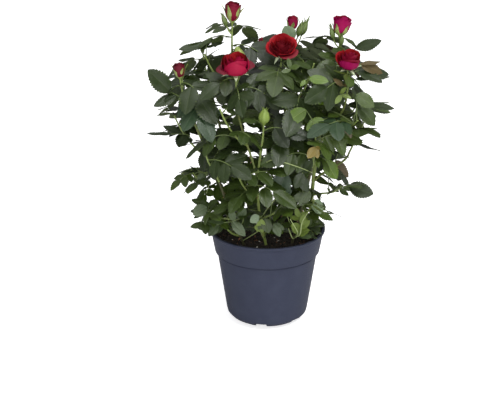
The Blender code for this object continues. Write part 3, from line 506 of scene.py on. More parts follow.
def clearStem(name, spray, limbPoints, guards):      # sways further each time until nothing is in its way
    radii = [radius + growth["spare"] for radius in growth["stemRadii"]]
    for attempt in range(growth["stemTries"]):
        sway = bearingVector(growth["goldenAngle"] * attempt) * (0.10 * attempt)
        path = stemPath(spray, limbPoints, sway)
        shape = roughTube(path, radii, 3)
        if not guards.meets(*shape, skip=(spray.limb,)):
            break
    guards.add(name, [shape])
    return path


def leaning(bearing, degrees):
    angle = math.radians(degrees)
    return up * math.cos(angle) + bearingVector(bearing) * math.sin(angle)


def budStalk(flower, stem):
    if flower.share == 1:
        return []
    start = pointOn(stem, flower.share)
    out = bearingVector(flower.bearing)
    end = start + out * (flower.stalk * 0.5) + up * (flower.stalk * 0.86)
    arriving = leaning(flower.bearing, flower.lean)
    return curvedPath(start, (out * 0.8 + up * 0.6).normalized(), end, arriving, 2)


# The rough bodies of pot and flowers take room from the leaves, just as the solids do
petalsRound = 5
flowerForms = {        # rings of (radius, height, lobe, turn), sides, then the sepals' count, rise and size
    "bloom": (((0.0020, -0.001, 0, 0), (0.0050, 0.003, 0, 0), (0.0200, 0.008, 0.05, 0),
               (0.0275, 0.014, 0.10, 0), (0.0180, 0.012, 0.05, 90), (0.0190, 0.024, 0.09, 180),
               (0.0110, 0.020, 0.05, 180), (0.0105, 0.029, 0.09, 60), (0.0040, 0.026, 0, 0)),
              10, 3, -24, 0.020, 0.007),
    "half": (((0.0020, -0.001, 0, 0), (0.0052, 0.003, 0, 0), (0.0140, 0.009, 0.04, 0),
              (0.0195, 0.023, 0.09, 0), (0.0150, 0.021, 0.05, 90), (0.0125, 0.031, 0.08, 180),
              (0.0050, 0.029, 0, 0)), 10, 3, 0, 0.020, 0.006),
    "bud": (((0.0019, -0.001, 0, 0), (0.0045, 0.003, 0, 0), (0.0090, 0.011, 0.03, 0),
             (0.0102, 0.020, 0.05, 0), (0.0078, 0.030, 0.09, 0), (0.0030, 0.031, 0, 0)),
            7, 3, 46, 0.023, 0.006),
    "green": (((0.0015, -0.001, 0, 0), (0.0040, 0.003, 0, 0), (0.0054, 0.009, 0, 0), (0.0012, 0.020, 0, 0)),
              5, 2, 60, 0.024, 0.004),
}
potTurns = {           # radius and height of turns of the wall
    "foot": (0.0500, 0.0),
    "corner": (0.0582, 0.0130),
    "bandTop": (0.0826, 0.1362),
    "rim": (0.0850, 0.1384),
    "height": 0.141,
    "lip": 0.0040,
    "wall": 0.0020,
}


def roughRosette(base, axis, rings, sides):
    side = crosswise(axis, Vector((1, 0.2, 0)))
    other = axis.cross(side)
    vertices = []
    for radius, height, lobe, turn in rings:
        for corner in range(sides):
            angle = 2 * math.pi * corner / sides
            swell = lobe * math.cos(petalsRound * angle + math.radians(turn))
            out = side * math.cos(angle) + other * math.sin(angle)
            vertices.append(base + out * (radius * (1 + swell)) + axis * (height + radius * swell * 0.7))
    last = len(rings) - 1
    ends = tuple(range(sides)), tuple(range(last * sides, (last + 1) * sides))
    return vertices, [ends[0], *ringFaces(last, sides), ends[1]]


def roughSepals(base, axis, count, rise, length, width):
    side = crosswise(axis, Vector((1, 0.2, 0)))
    halfRoot = leafForm["rootHalfWidth"] / 2
    blades = []
    for sepal in range(count):
        out = side.copy()
        out.rotate(Matrix.Rotation(math.radians(40 + 360 * sepal / count), 3, axis))
        along = axis * math.sin(math.radians(rise)) + out * math.cos(math.radians(rise))
        normal = crosswise(along, axis - out)
        vertices = [base + normal * halfRoot, base - normal * halfRoot]
        faces = []
        openOut(vertices, faces, (0, 0), (1, 1), Blade(base, along, normal, length, width, 0.1, -0.1, 1))
        blades.append((vertices, faces))
    return blades


def flowerGuards(flower, base):
    axis = leaning(flower.bearing, flower.lean)
    size = flower.size
    height, radius = flowerRoom[flower.kind]
    path = [base + axis * (height * size * share) for share in (0.03, 0.4, 1)]
    hull = roughTube(path, (0.002, radius * size, radius * size * 0.8), 8)
    rings, sides, count, rise, length, width = flowerForms[flower.kind]
    sized = [(around * size, above * size, lobe, turn) for around, above, lobe, turn in rings]
    foot = base + axis * (0.0022 * size)
    return ([hull, roughRosette(base, axis, sized, sides)]
            + roughSepals(foot, axis, count, rise, length * size, width * size))


def turnedShape(profile, sides):
    vertices = []
    rings = []
    for radius, height in profile:
        count = 1 if radius == 0 else sides
        rings.append(range(len(vertices), len(vertices) + count))
        for corner in range(count):
            angle = 2 * math.pi * corner / sides
            vertices.append(Vector((radius * math.cos(angle), radius * math.sin(angle), height)))
    faces = []
    for inner, outer in zip(rings, rings[1:] + rings[:1]):
        for corner in range(sides):
            following = (corner + 1) % sides
            ring = [inner[corner % len(inner)], inner[following % len(inner)],
                    outer[following % len(outer)], outer[corner % len(outer)]]
            face = tuple(dict.fromkeys(ring))
            if len(face) > 2:
                faces.append(face)
    return vertices, faces


def potGuard():
    spare = growth["spare"]
    outside = potTurns["rim"][0] + 2 * spare
    inside = potTurns["rim"][0] - potTurns["lip"] - 2 * spare
    top = potTurns["height"] + 2 * spare
    soil = growth["soilTop"] + 2 * spare
    corner = potTurns["corner"]
    profile = [(0, 0), potTurns["foot"], (corner[0] + spare, corner[1]), (outside, potTurns["bandTop"][1]),
               (outside, top), (inside, top), (inside, soil), (0, soil)]
    return turnedShape(profile, 24)


def growBush():
    spare = growth["spare"]
    guards = Guards()
    guards.add("pot", [potGuard()])
    limbs = {name: canePath(limb) for name, limb in canes.items()}
    for name, limb in boughs.items():
        limbs[name] = boughPath(limb, limbs[limb.start[0]])
    for name, limb in {**canes, **boughs}.items():
        guards.add(name, [roughTube(limbs[name], [radius + spare for radius in limb.radii], 6)])
    stems = {name: clearStem(name, spray, limbs[spray.limb], guards) for name, spray in sprays.items()}
    for name, spray in sprays.items():
        for flower in spray.flowers:
            stalk = budStalk(flower, stems[name])
            base = stalk[-1] if stalk else stems[name][-1]
            guards.add(name, flowerGuards(flower, base))
            if stalk:
                guards.add(name, [roughTube(stalk, (growth["budStalkRadius"] + spare,) * 2, 3)])
    leaves = {name: growLeaves(name, spray, stems[name], guards) for name, spray in sprays.items()}
    return limbs, stems, leaves, guards


limbs, stems, leaves, guards = growBush()
print("grown:", sum(len(own) for own in leaves.values()), "leaves on", len(stems), "sprays")


# Finishes

def linearFrom(red, green, blue):    # linear colour from 0-255 display values
    def one(value):
        value = value / 255
        return value / 12.92 if value <= 0.04045 else ((value + 0.055) / 1.055) ** 2.4
    return one(red), one(green), one(blue)


def newGroup(name, inputs, outputs):
    group = bpy.data.node_groups.new(name, "ShaderNodeTree")
    for socketName, value in inputs.items():
        socket = group.interface.new_socket(socketName, in_out="INPUT", socket_type="NodeSocketFloat")
        socket.default_value = value
    for socketName in outputs:
        group.interface.new_socket(socketName, in_out="OUTPUT", socket_type="NodeSocketFloat")
    return group, group.nodes.new("NodeGroupInput"), group.nodes.new("NodeGroupOutput")


def addNode(tree, kind, values=None, links=None, **settings):
    node = tree.nodes.new("ShaderNode" + kind)
    for name, value in settings.items():
        setattr(node, name, value)
    for socket, value in (values or {}).items():
        node.inputs[socket].default_value = value
    for socket, source in (links or {}).items():
        tree.links.new(source, node.inputs[socket])
    return node


def makeMottleGroup():               # a value that wanders softly between two levels
    group, given, result = newGroup("softMottle", {"Scale": 60, "Low": 0.4, "High": 0.6}, ("Value", "Mask"))
    place = addNode(group, "TexCoord").outputs["Object"]
    noise = addNode(group, "TexNoise", {"Detail": 4, "Roughness": 0.6},
                    {"Vector": place, "Scale": given.outputs["Scale"]})
    span = {"From Min": 0.32, "From Max": 0.68}
    spread = addNode(group, "MapRange", span, {
        "Value": noise.outputs["Fac"], "To Min": given.outputs["Low"], "To Max": given.outputs["High"]})
    mask = addNode(group, "MapRange", span, {"Value": noise.outputs["Fac"]})
    group.links.new(spread.outputs["Result"], result.inputs["Value"])
    group.links.new(mask.outputs["Result"], result.inputs["Mask"])
    return group


def makePebbleGroup():               # fine cells over broad waves, as a height
    group, given, result = newGroup("finePebble", {"Cells": 900, "Waves": 120, "Blend": 0.5}, ("Height",))
    place = addNode(group, "TexCoord").outputs["Object"]
    cells = addNode(group, "TexVoronoi", links={"Vector": place, "Scale": given.outputs["Cells"]})
    waves = addNode(group, "TexNoise", {"Detail": 3}, {"Vector": place, "Scale": given.outputs["Waves"]})
    both = addNode(group, "Mix", links={"Factor": given.outputs["Blend"]})
    group.links.new(cells.outputs["Distance"], both.inputs["A"])
    group.links.new(waves.outputs["Fac"], both.inputs["B"])
    group.links.new(both.outputs["Result"], result.inputs["Height"])
    return group


def makeFibreGroup():                # streaks that run up and down, as a height and a mask
    group, given, result = newGroup("uprightFibre", {"Across": 900, "Along": 60}, ("Height", "Mask"))
    place = addNode(group, "TexCoord").outputs["Object"]
    across = given.outputs["Across"]
    scale = addNode(group, "CombineXYZ", links={"X": across, "Y": across, "Z": given.outputs["Along"]})
    links = {0: place, 1: scale.outputs["Vector"]}
    stretched = addNode(group, "VectorMath", links=links, operation="MULTIPLY")
    noise = addNode(group, "TexNoise", {"Scale": 1, "Detail": 5, "Roughness": 0.65},
                    {"Vector": stretched.outputs["Vector"]})
    mask = addNode(group, "MapRange", {"From Min": 0.40, "From Max": 0.62}, {"Value": noise.outputs["Fac"]})
    group.links.new(noise.outputs["Fac"], result.inputs["Height"])
    group.links.new(mask.outputs["Result"], result.inputs["Mask"])
    return group


groups = {"mottle": makeMottleGroup(), "pebble": makePebbleGroup(), "fibre": makeFibreGroup()}


def addGroup(tree, name, **values):
    node = addNode(tree, "Group", node_tree=groups[name])
    for socket, value in values.items():
        node.inputs[socket].default_value = value
    return node


# Roughness is a scale with its low and high value, relief has cells, waves, blend and depth in metres, and
# fibre is how often it repeats across and along
def finish(name, colour, roughness, relief, second=None, fibre=None, shine=0.5):
    made = bpy.data.materials.new(name)
    made.use_nodes = True
    tree = made.node_tree
    shader = tree.nodes["Principled BSDF"]
    shader.inputs["Base Color"].default_value = (*linearFrom(*colour), 1)
    made.diffuse_color = shader.inputs["Base Color"].default_value
    shader.inputs["Specular IOR Level"].default_value = shine
    scale, low, high = roughness
    mottle = addGroup(tree, "mottle", Scale=scale, Low=low, High=high)
    tree.links.new(mottle.outputs["Value"], shader.inputs["Roughness"])
    cells, waves, blend, depth = relief
    if fibre:
        height = addGroup(tree, "fibre", Across=fibre[0], Along=fibre[1])
    else:
        height = addGroup(tree, "pebble", Cells=cells, Waves=waves, Blend=blend)
    bump = addNode(tree, "Bump", {"Strength": 1, "Distance": depth}, {"Height": height.outputs["Height"]})
    tree.links.new(bump.outputs["Normal"], shader.inputs["Normal"])
    if second:
        mix = addNode(tree, "Mix", data_type="RGBA")
        mix.inputs[6].default_value = (*linearFrom(*colour), 1)
        mix.inputs[7].default_value = (*linearFrom(*second), 1)
        mask = height if fibre else mottle
        tree.links.new(mask.outputs["Mask"], mix.inputs["Factor"])
        tree.links.new(mix.outputs[2], shader.inputs["Base Color"])
    return made


# Leaf colours by tone: upper side, underside and midrib, from 0 to 255. The dark, mid, light and deep tones
# are shaded and lit copies of one leaf green: painted shade and painted light
leafTones = {
    "dark": ((35, 48, 18), (72, 85, 50), (51, 64, 32)),
    "mid": ((47, 62, 21), (82, 96, 54), (66, 82, 38)),
    "light": ((56, 73, 22), (90, 104, 54), (78, 96, 42)),
    "young": ((74, 98, 20), (108, 124, 62), (108, 126, 54)),
    "grey": ((70, 85, 54), (108, 118, 88), (92, 106, 74)),
    "bronze": ((84, 72, 44), (104, 90, 62), (104, 92, 58)),
    "amber": ((142, 124, 62), (150, 138, 84), (160, 146, 84)),
    "pale": ((112, 130, 100), (140, 156, 126), (130, 148, 116)),
    "deep": ((28, 38, 18), (66, 80, 48), (42, 54, 26)),
    "teal": ((42, 61, 38), (76, 92, 68), (62, 80, 54)),
    "fresh": ((100, 118, 50), (118, 132, 82), (118, 134, 76)),
}
# tones by spray: dark is painted shade and light is painted light, grey is a greyer green, and sprays not
# listed take mid
toneOf = {
    "dark": ["spray_left_bloom", "spray_left_bud", "spray_high_left", "spray_left",
             "spray_front_left", "spray_side_back_right", "spray_side_back_left",
             "spray_low_back_left", "spray_rear_right", "spray_high_middle"],
    "light": ["spray_right_bloom", "spray_front_right", "spray_right_front", "spray_right_low", "spray_rear",
              "spray_high_back", "spray_front_low", "spray_rim_left", "spray_rim_right", "spray_left_low",
              "spray_centre_low", "tuft_front", "tuft_right"],
    "grey": ["spray_back_bud", "tuft_left", "tuft_middle", "tuft_front_right"],
}
# single deep and dark leaves are painted shade, single light leaves painted light
singleTones = {          # single leaves of another tone, by spray and number
    "bronze": [("spray_high_right", 0)],
    "light": [("spray_right", 0), ("spray_centre", 0)],
    "mid": [("spray_front_right", 2)],
    "dark": [("spray_centre_right", 0), ("spray_centre_right", 1), ("spray_right_bloom", 0),
             ("spray_right_bloom", 1), ("spray_green_bud", 1), ("spray_centre", 1)],
    "deep": [("spray_tall_bud", 2), ("spray_back_bud", 0), ("spray_high_back", 0), ("spray_green_bud", 0)],
    "teal": [("spray_right_front", 0), ("spray_left_bud", 2)],
}
petalTones = {
    "petalFace": (148, 20, 28),
    "petalBack": (126, 10, 42),
    "petalPink": (152, 4, 76),
    "petalDeep": (110, 18, 30),
    "petalRose": (148, 6, 50),
    "petalDark": (118, 10, 40),
    "petalWine": (96, 16, 34),
    "petalMauve": (134, 12, 62),
}
leafFinish = {
    "upper": (90, 0.28, 0.47),
    "under": (90, 0.62, 0.80),
    "rib": (90, 0.45, 0.60),
    "relief": (1500, 260, 0.6, 0.00035),
    "shine": 0.40,
}
soft = (1400, 180, 0.7, 0.0002)          # relief of most green parts
smooth = (2600, 420, 0.35, 0.00012)      # relief of the pot
fibrous = {                              # colour, second colour, roughness, fibre
    "greenStem": ((112, 130, 64), (134, 150, 82), (70, 0.38, 0.52), (700, 50)),
    "greenBark": ((98, 118, 52), (118, 122, 64), (60, 0.45, 0.65), (800, 40)),
    "brightBark": ((128, 146, 70), (142, 156, 88), (60, 0.42, 0.6), (800, 40)),
    "dimBark": ((66, 72, 42), (82, 74, 52), (60, 0.55, 0.75), (800, 40)),
    "leafStalk": ((82, 98, 50), (98, 112, 60), (70, 0.42, 0.56), (900, 60)),
    "barkChip": ((92, 62, 44), (120, 88, 62), (300, 0.7, 0.9), (1200, 500)),
}
pebbled = {                              # colour, second colour, roughness, relief
    "thinShoot": ((138, 152, 96), None, (70, 0.42, 0.56), soft),
    "thornTip": ((150, 104, 78), None, (60, 0.35, 0.5), soft),
    "sepalGreen": ((144, 158, 86), None, (90, 0.5, 0.65), soft),
    "budGreen": ((134, 152, 72), None, (90, 0.42, 0.56), soft),
    "sepalPale": ((176, 188, 152), None, (90, 0.5, 0.65), soft),
    "budDeep": ((94, 112, 56), None, (90, 0.42, 0.56), soft),
    "budFresh": ((116, 136, 60), None, (90, 0.42, 0.56), soft),
    # the inside of the wall, darker and greyer than the plastic outside: painted shade within the rim
    "potInsideShade": ((34, 34, 38), (44, 42, 42), (45, 0.55, 0.7), smooth),
    "peatCompost": ((34, 30, 27), (56, 48, 40), (220, 0.85, 1.0), (700, 220, 0.5, 0.0012)),
    "peatCrumb": ((44, 38, 33), (66, 56, 46), (300, 0.85, 1.0), (1400, 500, 0.5, 0.0006)),
    "perlite": ((206, 203, 194), None, (500, 0.8, 0.95), (1800, 700, 0.5, 0.0004)),
}


def leafMaterials(tone):
    relief, shine = leafFinish["relief"], leafFinish["shine"]
    upper, under, rib = leafTones[tone]
    return [finish(f"{tone}LeafUpper", upper, leafFinish["upper"], relief, shine=shine),
            finish(f"{tone}LeafUnder", under, leafFinish["under"], relief, shine=shine / 2),
            finish(f"{tone}LeafRib", rib, leafFinish["rib"], relief, shine=shine)]


materials = {tone: leafMaterials(tone) for tone in leafTones}
for name, (colour, second, roughness, fibre) in fibrous.items():
    materials[name] = finish(name, colour, roughness, soft, second, fibre)
for name, (colour, second, roughness, relief) in pebbled.items():
    materials[name] = finish(name, colour, roughness, relief, second)
for name, colour in petalTones.items():
    materials[name] = finish(name, colour, (120, 0.48, 0.64), (2200, 300, 0.7, 0.0002), shine=0.22)
materials["potPlastic"] = finish("potPlastic", (54, 58, 74), (45, 0.42, 0.54), smooth, (59, 63, 79),
                                 shine=0.08)
print(len(bpy.data.materials), "materials")


# Fine meshes

class Pile:                          # vertices and faces of one joined piece, with a material for each face
    def __init__(self):
        self.points = []
        self.faces = []
        self.slots = []
        self.count = 0
        self.triangles = 0

    def add(self, points, faces, slots):
        points = np.asarray(points, float)
        faces = np.asarray(faces, int)
        self.points.append(points)
        self.faces.append(faces + self.count)
        self.slots.append(np.broadcast_to(np.asarray(slots, int), len(faces)))
        self.count += len(points)
        self.triangles += len(faces) * (faces.shape[1] - 2)


def makePiece(name, pile, finishes, replaced, sharpAbove=None):
    mesh = bpy.data.meshes.new(name)
    corners = np.concatenate([faces.ravel() for faces in pile.faces])
    sizes = np.concatenate([np.full(len(faces), faces.shape[1]) for faces in pile.faces])
    mesh.vertices.add(pile.count)
    mesh.vertices.foreach_set("co", np.concatenate(pile.points).ravel())
    mesh.loops.add(len(corners))
    mesh.loops.foreach_set("vertex_index", corners)
    mesh.polygons.add(len(sizes))
    mesh.polygons.foreach_set("loop_start", np.concatenate([[0], np.cumsum(sizes)[:-1]]))
    mesh.polygons.foreach_set("material_index", np.concatenate(pile.slots))
    mesh.polygons.foreach_set("use_smooth", np.ones(len(sizes), bool))
    for material in finishes:
        mesh.materials.append(material)
    mesh.update(calc_edges=True)
    if sharpAbove:
        mesh.set_sharp_from_angle(angle=math.radians(sharpAbove))
    piece = bpy.data.objects.new(name, mesh)
    bpy.context.scene.collection.objects.link(piece)
    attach(piece, "root")
    if replaced:
        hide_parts(*replaced)
    print(f"{name}: {pile.triangles} triangles")
    return piece


def gridFaces(rows, columns, closed=False, start=0):
    row = np.arange(rows - 1)[:, None]
    column = np.arange(columns if closed else columns - 1)[None, :]
    near = start + row * columns + column
    beside = start + row * columns + (column + 1) % columns
    return np.stack([near, beside, beside + columns, near + columns], -1).reshape(-1, 4)


def closeEnds(pile, rows, sides, slot, turned=False):    # fans from the end rings to the last two points
    corner = np.arange(sides)
    beyond = (corner + 1) % sides
    last = (rows - 1) * sides
    first = pile.count - rows * sides - 2
    fans = np.vstack([np.stack([np.full(sides, rows * sides), beyond, corner], -1),
                      np.stack([np.full(sides, rows * sides + 1), last + corner, last + beyond], -1)])
    pile.faces.append((fans[:, [0, 2, 1]] if turned else fans) + first)
    pile.slots.append(np.full(2 * sides, slot))
    pile.triangles += 2 * sides


def smoothPath(path, steps):         # the same path, through its points, with rounder bends
    points = np.array([tuple(point) for point in path])
    padded = np.vstack([2 * points[0] - points[1], points, 2 * points[-1] - points[-2]])
    place = np.linspace(0, len(points) - 1, steps + 1)
    whole = np.minimum(place.astype(int), len(points) - 2)
    share = (place - whole)[:, None]
    a, b, c, d = (padded[whole + step] for step in range(4))
    return 0.5 * (2 * b + (c - a) * share + (2 * a - 5 * b + 4 * c - d) * share ** 2
                  + (3 * b - a - 3 * c + d) * share ** 3)


def pathFrames(points):              # forward, side and other directions that turn as little as they can
    forward = np.gradient(points, axis=0)
    forward /= np.linalg.norm(forward, axis=1)[:, None]
    side = np.cross(forward[0], (0.3, 1, 0.2))
    sides = []
    for direction in forward:
        side = side - direction * (side @ direction)
        side = side / np.linalg.norm(side)
        sides.append(side)
    sides = np.array(sides)
    return forward, sides, np.cross(forward, sides)


def addTube(pile, points, radii, sides, slot, relief=None):
    forward, side, other = pathFrames(points)
    radii = np.interp(np.linspace(0, 1, len(points)), np.linspace(0, 1, len(radii)), radii)
    angle = np.linspace(0, 2 * math.pi, sides, endpoint=False)
    radius = np.repeat(radii[:, None], sides, 1)
    if relief is not None:
        radius = radius * (1 + relief)
    ring = side[:, None] * np.cos(angle)[None, :, None] + other[:, None] * np.sin(angle)[None, :, None]
    body = (points[:, None] + ring * radius[..., None]).reshape(-1, 3)
    faces = gridFaces(len(points), sides, closed=True)
    foot = points[0] - forward[0] * radii[0] * 0.2
    head = points[-1] + forward[-1] * radii[-1] * 0.5
    pile.add(np.vstack([body, foot, head]), faces, slot)
    closeEnds(pile, len(points), sides, slot)


# A leaflet is a closed shell: its rim has teeth, its blade is quilted between the veins, and the
# midrib is a strip of its own
leaflet = {
    "rows": 23,
    "columns": (-1, -0.66, -0.27, -0.03, 0.03, 0.27, 0.66, 1),
    "widest": (0.62, 0.78),          # powers of the outline towards the root and towards the tip
    "halfWidth": 0.50,
    "toothDepth": 0.075,
    "toothLean": 0.55,
    "veins": 8,
    "veinLean": 1.5,
    "quilt": 0.0075,                 # shares of the leaflet's length
    "groove": 0.010,
    "wave": 0.020,
    "thick": 0.00032,
}
shellFaces = {}


def shellTemplate(rows, columns):    # faces of a top sheet and a bottom sheet that share their outline
    if (rows, columns) not in shellFaces:
        top = gridFaces(rows, columns)
        lower = np.arange(rows * columns).reshape(rows, columns)
        inner = rows * columns + np.arange((rows - 2) * (columns - 2)).reshape(rows - 2, columns - 2)
        lower[1:-1, 1:-1] = inner
        bottom = lower.ravel()[top][:, ::-1]
        middle = (columns - 1) // 2
        column = np.tile(np.arange(columns - 1), rows - 1)
        rib = column == middle if columns % 2 == 0 else np.zeros(len(top), bool)
        shellFaces[rows, columns] = np.vstack([top, bottom]), rib
    return shellFaces[rows, columns]


def addShell(pile, top, normal, thick, slots):       # slots: upper, under, rib
    rows, columns = top.shape[:2]
    under = (top - normal * thick)[1:-1, 1:-1].reshape(-1, 3)
    faces, rib = shellTemplate(rows, columns)
    sides = np.concatenate([np.where(rib, slots[2], slots[0]), np.full(len(rib), slots[1])])
    pile.add(np.vstack([top.reshape(-1, 3), under]), faces, sides)


def addBlade(pile, blade, rng, slots, rows=None):
    rows = rows or leaflet["rows"]
    columns = np.array(leaflet["columns"])[None, :]
    share = np.linspace(0, 1, rows)[:, None]
    low, high = leaflet["widest"]
    peak = low / (low + high)
    outline = share ** low * (1 - share) ** high / (peak ** low * (1 - peak) ** high)
    half = np.maximum(leaflet["halfWidth"] * blade.width * outline, 0.0004)
    rim = np.abs(columns) == 1
    tooth = np.where(np.arange(rows)[:, None] % 2 == 1, 1, -1) * np.clip(outline * 1.4 - 0.25, 0, 1)
    sideways = columns * half * (1 + rim * tooth * leaflet["toothDepth"])
    forward = share + rim * np.maximum(tooth, 0) * leaflet["toothLean"] / rows
    reach = np.abs(columns)
    phase = rng.uniform(0, 6.28)
    length = blade.length
    vein = np.abs(np.sin(math.pi * (share * leaflet["veins"] - reach * leaflet["veinLean"] + 0.3)))
    lift = blade.fold * np.abs(sideways) - blade.curl * length * forward ** 2
    lift = lift + length * leaflet["quilt"] * (vein - 0.5) * np.clip(outline * 1.5, 0, 1) * (reach > 0.1)
    lift = lift - length * leaflet["groove"] * (reach < 0.1) * (1 - 0.6 * share)
    lift = lift - 0.10 * half * reach ** 2
    lift = lift + length * leaflet["wave"] * reach ** 2 * np.sin(columns * 1.1 + share * 9 + phase) * outline
    twist = rng.uniform(-0.12, 0.12)
    lift = lift + twist * share * sideways
    bend = rng.uniform(-0.035, 0.035)
    sideways = sideways + bend * length * np.sin(math.pi * share)
    along = np.array(blade.along)
    normal = np.array(blade.normal)
    across = np.cross(along, normal)
    place = forward[..., None] * length * along + sideways[..., None] * across + lift[..., None] * normal
    addShell(pile, np.array(blade.root) + place, normal, leaflet["thick"], slots)


# Canes, boughs and stems

caneForm = {
    "rows": 100,
    "sides": 14,
    "joints": 0.030,                 # metres between leaf joints
    "jointSwell": 0.16,
    "ridges": 0.035,
    "knots": 0.05,
    "footSink": 0.002,               # how far a foot goes into the crumbs on the soil
    "thornEvery": 0.017,
    "thornSize": 0.0036,
    "stemThornEvery": 0.026,
    "stemThornSize": 0.0019,
}


def barkRelief(rows, sides, length, rng):            # swollen leaf joints, low ridges and small knots
    along = np.linspace(0, 1, rows)[:, None] * length
    around = np.linspace(0, 2 * math.pi, sides, endpoint=False)[None, :]
    shift = rng.uniform(0, 1)
    near = (along / caneForm["joints"] + shift) % 1 - 0.5
    relief = caneForm["jointSwell"] * np.exp(-(near / 0.07) ** 2) * (1 + 0.5 * np.cos(around + 5 * shift))
    relief = relief + caneForm["ridges"] * np.sin(3 * around + along * 90 + shift * 6)
    relief = relief + caneForm["ridges"] * 0.6 * np.sin(5 * around - along * 210)
    knots = np.random.default_rng(rng.randint(1, 9999)).normal(size=(rows, sides))
    knots = (knots + np.roll(knots, 1, 1) + np.roll(knots, -1, 1)) / 3
    return relief + caneForm["knots"] * knots


def addThorn(pile, foot, outward, downward, size, slot):
    hook = ((-0.15, 0), (0.35, 0.08), (0.72, 0.26), (1, 0.5))        # shares of its size out and down
    points = [foot + outward * size * out + downward * size * down for out, down in hook]
    addTube(pile, smoothPath(points, 5), (size * 0.34, size * 0.17, size * 0.03), 6, slot)


def addThorns(pile, points, radii, every, size, rng, slot):
    length = np.linalg.norm(np.diff(points, axis=0), axis=1).sum()
    forward, side, other = pathFrames(points)
    for _ in range(int(length / every)):
        place = rng.uniform(0.06, 0.94)
        row = int(place * (len(points) - 1))
        angle = rng.uniform(0, 2 * math.pi)
        outward = side[row] * math.cos(angle) + other[row] * math.sin(angle)
        radius = radii[0] + (radii[1] - radii[0]) * place
        addThorn(pile, points[row] + outward * radius * 0.8, outward, -forward[row],
                 size * rng.uniform(0.6, 1.1) * (1 - 0.4 * place), slot)


# Which bark a cane has: 0 green, 1 a brighter green, 2 a dimmer green turning brown
caneBark = {"cane_front": 1, "cane_right": 1, "cane_front_left": 2, "cane_front_right": 2}


def makeCanes():
    bark = Pile()
    thorns = Pile()
    rng = random.Random(31)
    for name, limb in {**canes, **boughs}.items():
        points = smoothPath(limbs[name], caneForm["rows"] - 1)
        if name in canes:
            points[0, 2] -= caneForm["footSink"]
        length = np.linalg.norm(np.diff(points, axis=0), axis=1).sum()
        relief = barkRelief(len(points), caneForm["sides"], length, rng)
        addTube(bark, points, limb.radii, caneForm["sides"], caneBark.get(name, 0), relief)
        addThorns(thorns, points, limb.radii, caneForm["thornEvery"], caneForm["thornSize"], rng, 0)
    finishes = [materials[name] for name in ("greenBark", "brightBark", "dimBark")]
    makePiece("canes_and_boughs", bark, finishes, list(limbs), 60)
    for name in sprays:
        addThorns(thorns, smoothPath(stems[name], 30), growth["stemRadii"], caneForm["stemThornEvery"],
                  caneForm["stemThornSize"], rng, 0)
    makePiece("thorns", thorns, [materials["thornTip"]], [], 60)


def makeStems():
    pile = Pile()
    rng = random.Random(47)
    thick, thin = growth["stemRadii"]
    for name, spray in sprays.items():
        limb = {**canes, **boughs}[spray.limb]
        foot = limb.radii[1] if spray.share == 1 else thick
        points = smoothPath(stems[name], 40)
        length = np.linalg.norm(np.diff(points, axis=0), axis=1).sum()
        relief = 0.6 * barkRelief(len(points), 9, length, rng)
        addTube(pile, points, (foot, (foot + thin) / 2, thin), 9, 0, relief)
    makePiece("stems", pile, [materials["greenStem"]], list(sprays), 60)


makeCanes()
makeStems()


# Leaves

extraLeaves = {          # small leaves in what room is left, on the same stems
    "perSpray": 2,
    "perPiece": 45,                  # leaves joined in one piece
    "tries": 40,
    "size": (0.45, 0.80),
}


def addLeaf(pile, leaf, rng, stalkSlot):
    count = leafForm["stalkSteps"] * 3
    addTube(pile, smoothPath(leaf.stalk, count), (0.00095, 0.00055), 5, stalkSlot)
    for blade in leaf.blades:
        rows = leaflet["rows"] if blade.length > 0.026 else 17
        addBlade(pile, blade, rng, (0, 1, 2), rows)


def addStipules(pile, leaf, rng):
    tangent, normal, across = stalkFrame(leaf.stalk, 0.04, leaf.facing)
    for side in (1, -1):
        along = (tangent + across * (0.30 * side)).normalized()
        length = leaf.blades[-1].length * 0.24
        blade = Blade(pointOn(leaf.stalk, 0.03), along, crosswise(along, normal), length, length * 0.42, 0.1,
                      0.05, 1)
        addBlade(pile, blade, rng, (0, 1, 2), 7)


def growExtras():
    extras = {name: [] for name in sprays}
    for number, (name, spray) in enumerate(sprays.items()):
        rng = random.Random(500 + number)
        stem = stems[name]
        middle = pointOn(stem, 0.5)
        reach = (stem[-1] - stem[0]).length / 2 + leafForm["length"] * 1.9
        for _ in range(extraLeaves["tries"]):
            if len(extras[name]) == extraLeaves["perSpray"]:
                break
            size = spray.size * rng.uniform(*extraLeaves["size"])
            leaf = growLeaf(stem, rng.uniform(0.15, 0.9), rng.uniform(0, 360), size, rng.choice((1, 2)), rng)
            room = leafRoom(leaf, growth["spare"])
            if leafFits(room, leaf, name, middle, reach, guards):
                extras[name].append(leaf)
                guards.add(name, [room])
    return extras


def makeLeaves():
    extras = growExtras()
    print(sum(len(own) for own in extras.values()), "small leaves more")
    toneFor = {name: tone for tone, names in toneOf.items() for name in names}
    singleTone = {leaf: tone for tone, single in singleTones.items() for leaf in single}
    chosen = {tone: [] for tone in leafTones}
    for name in sprays:
        own = toneFor.get(name, "mid")
        for number, leaf in enumerate(leaves[name]):
            chosen[singleTone.get((name, number), own)].append((name, leaf))
        for leaf in extras[name]:
            chosen[own].append((name, leaf))
    for tone, grown in chosen.items():
        for number in range(-(-len(grown) // extraLeaves["perPiece"])):
            batch = grown[number * extraLeaves["perPiece"]:(number + 1) * extraLeaves["perPiece"]]
            pile = Pile()
            rng = random.Random(70 + number)
            for name, leaf in batch:
                addLeaf(pile, leaf, rng, 3)
                addStipules(pile, leaf, rng)
            makePiece(f"leaves_{tone}_{number + 1}", pile, [*materials[tone], materials["leafStalk"]],
                      sorted({name for name, leaf in batch}), 50)


makeLeaves()


# Single leaves and thin shoots

# A spot is a place in the camera's frame, in its pixels, with the y of the point there, in metres
Spot = namedtuple("Spot", "across down y")


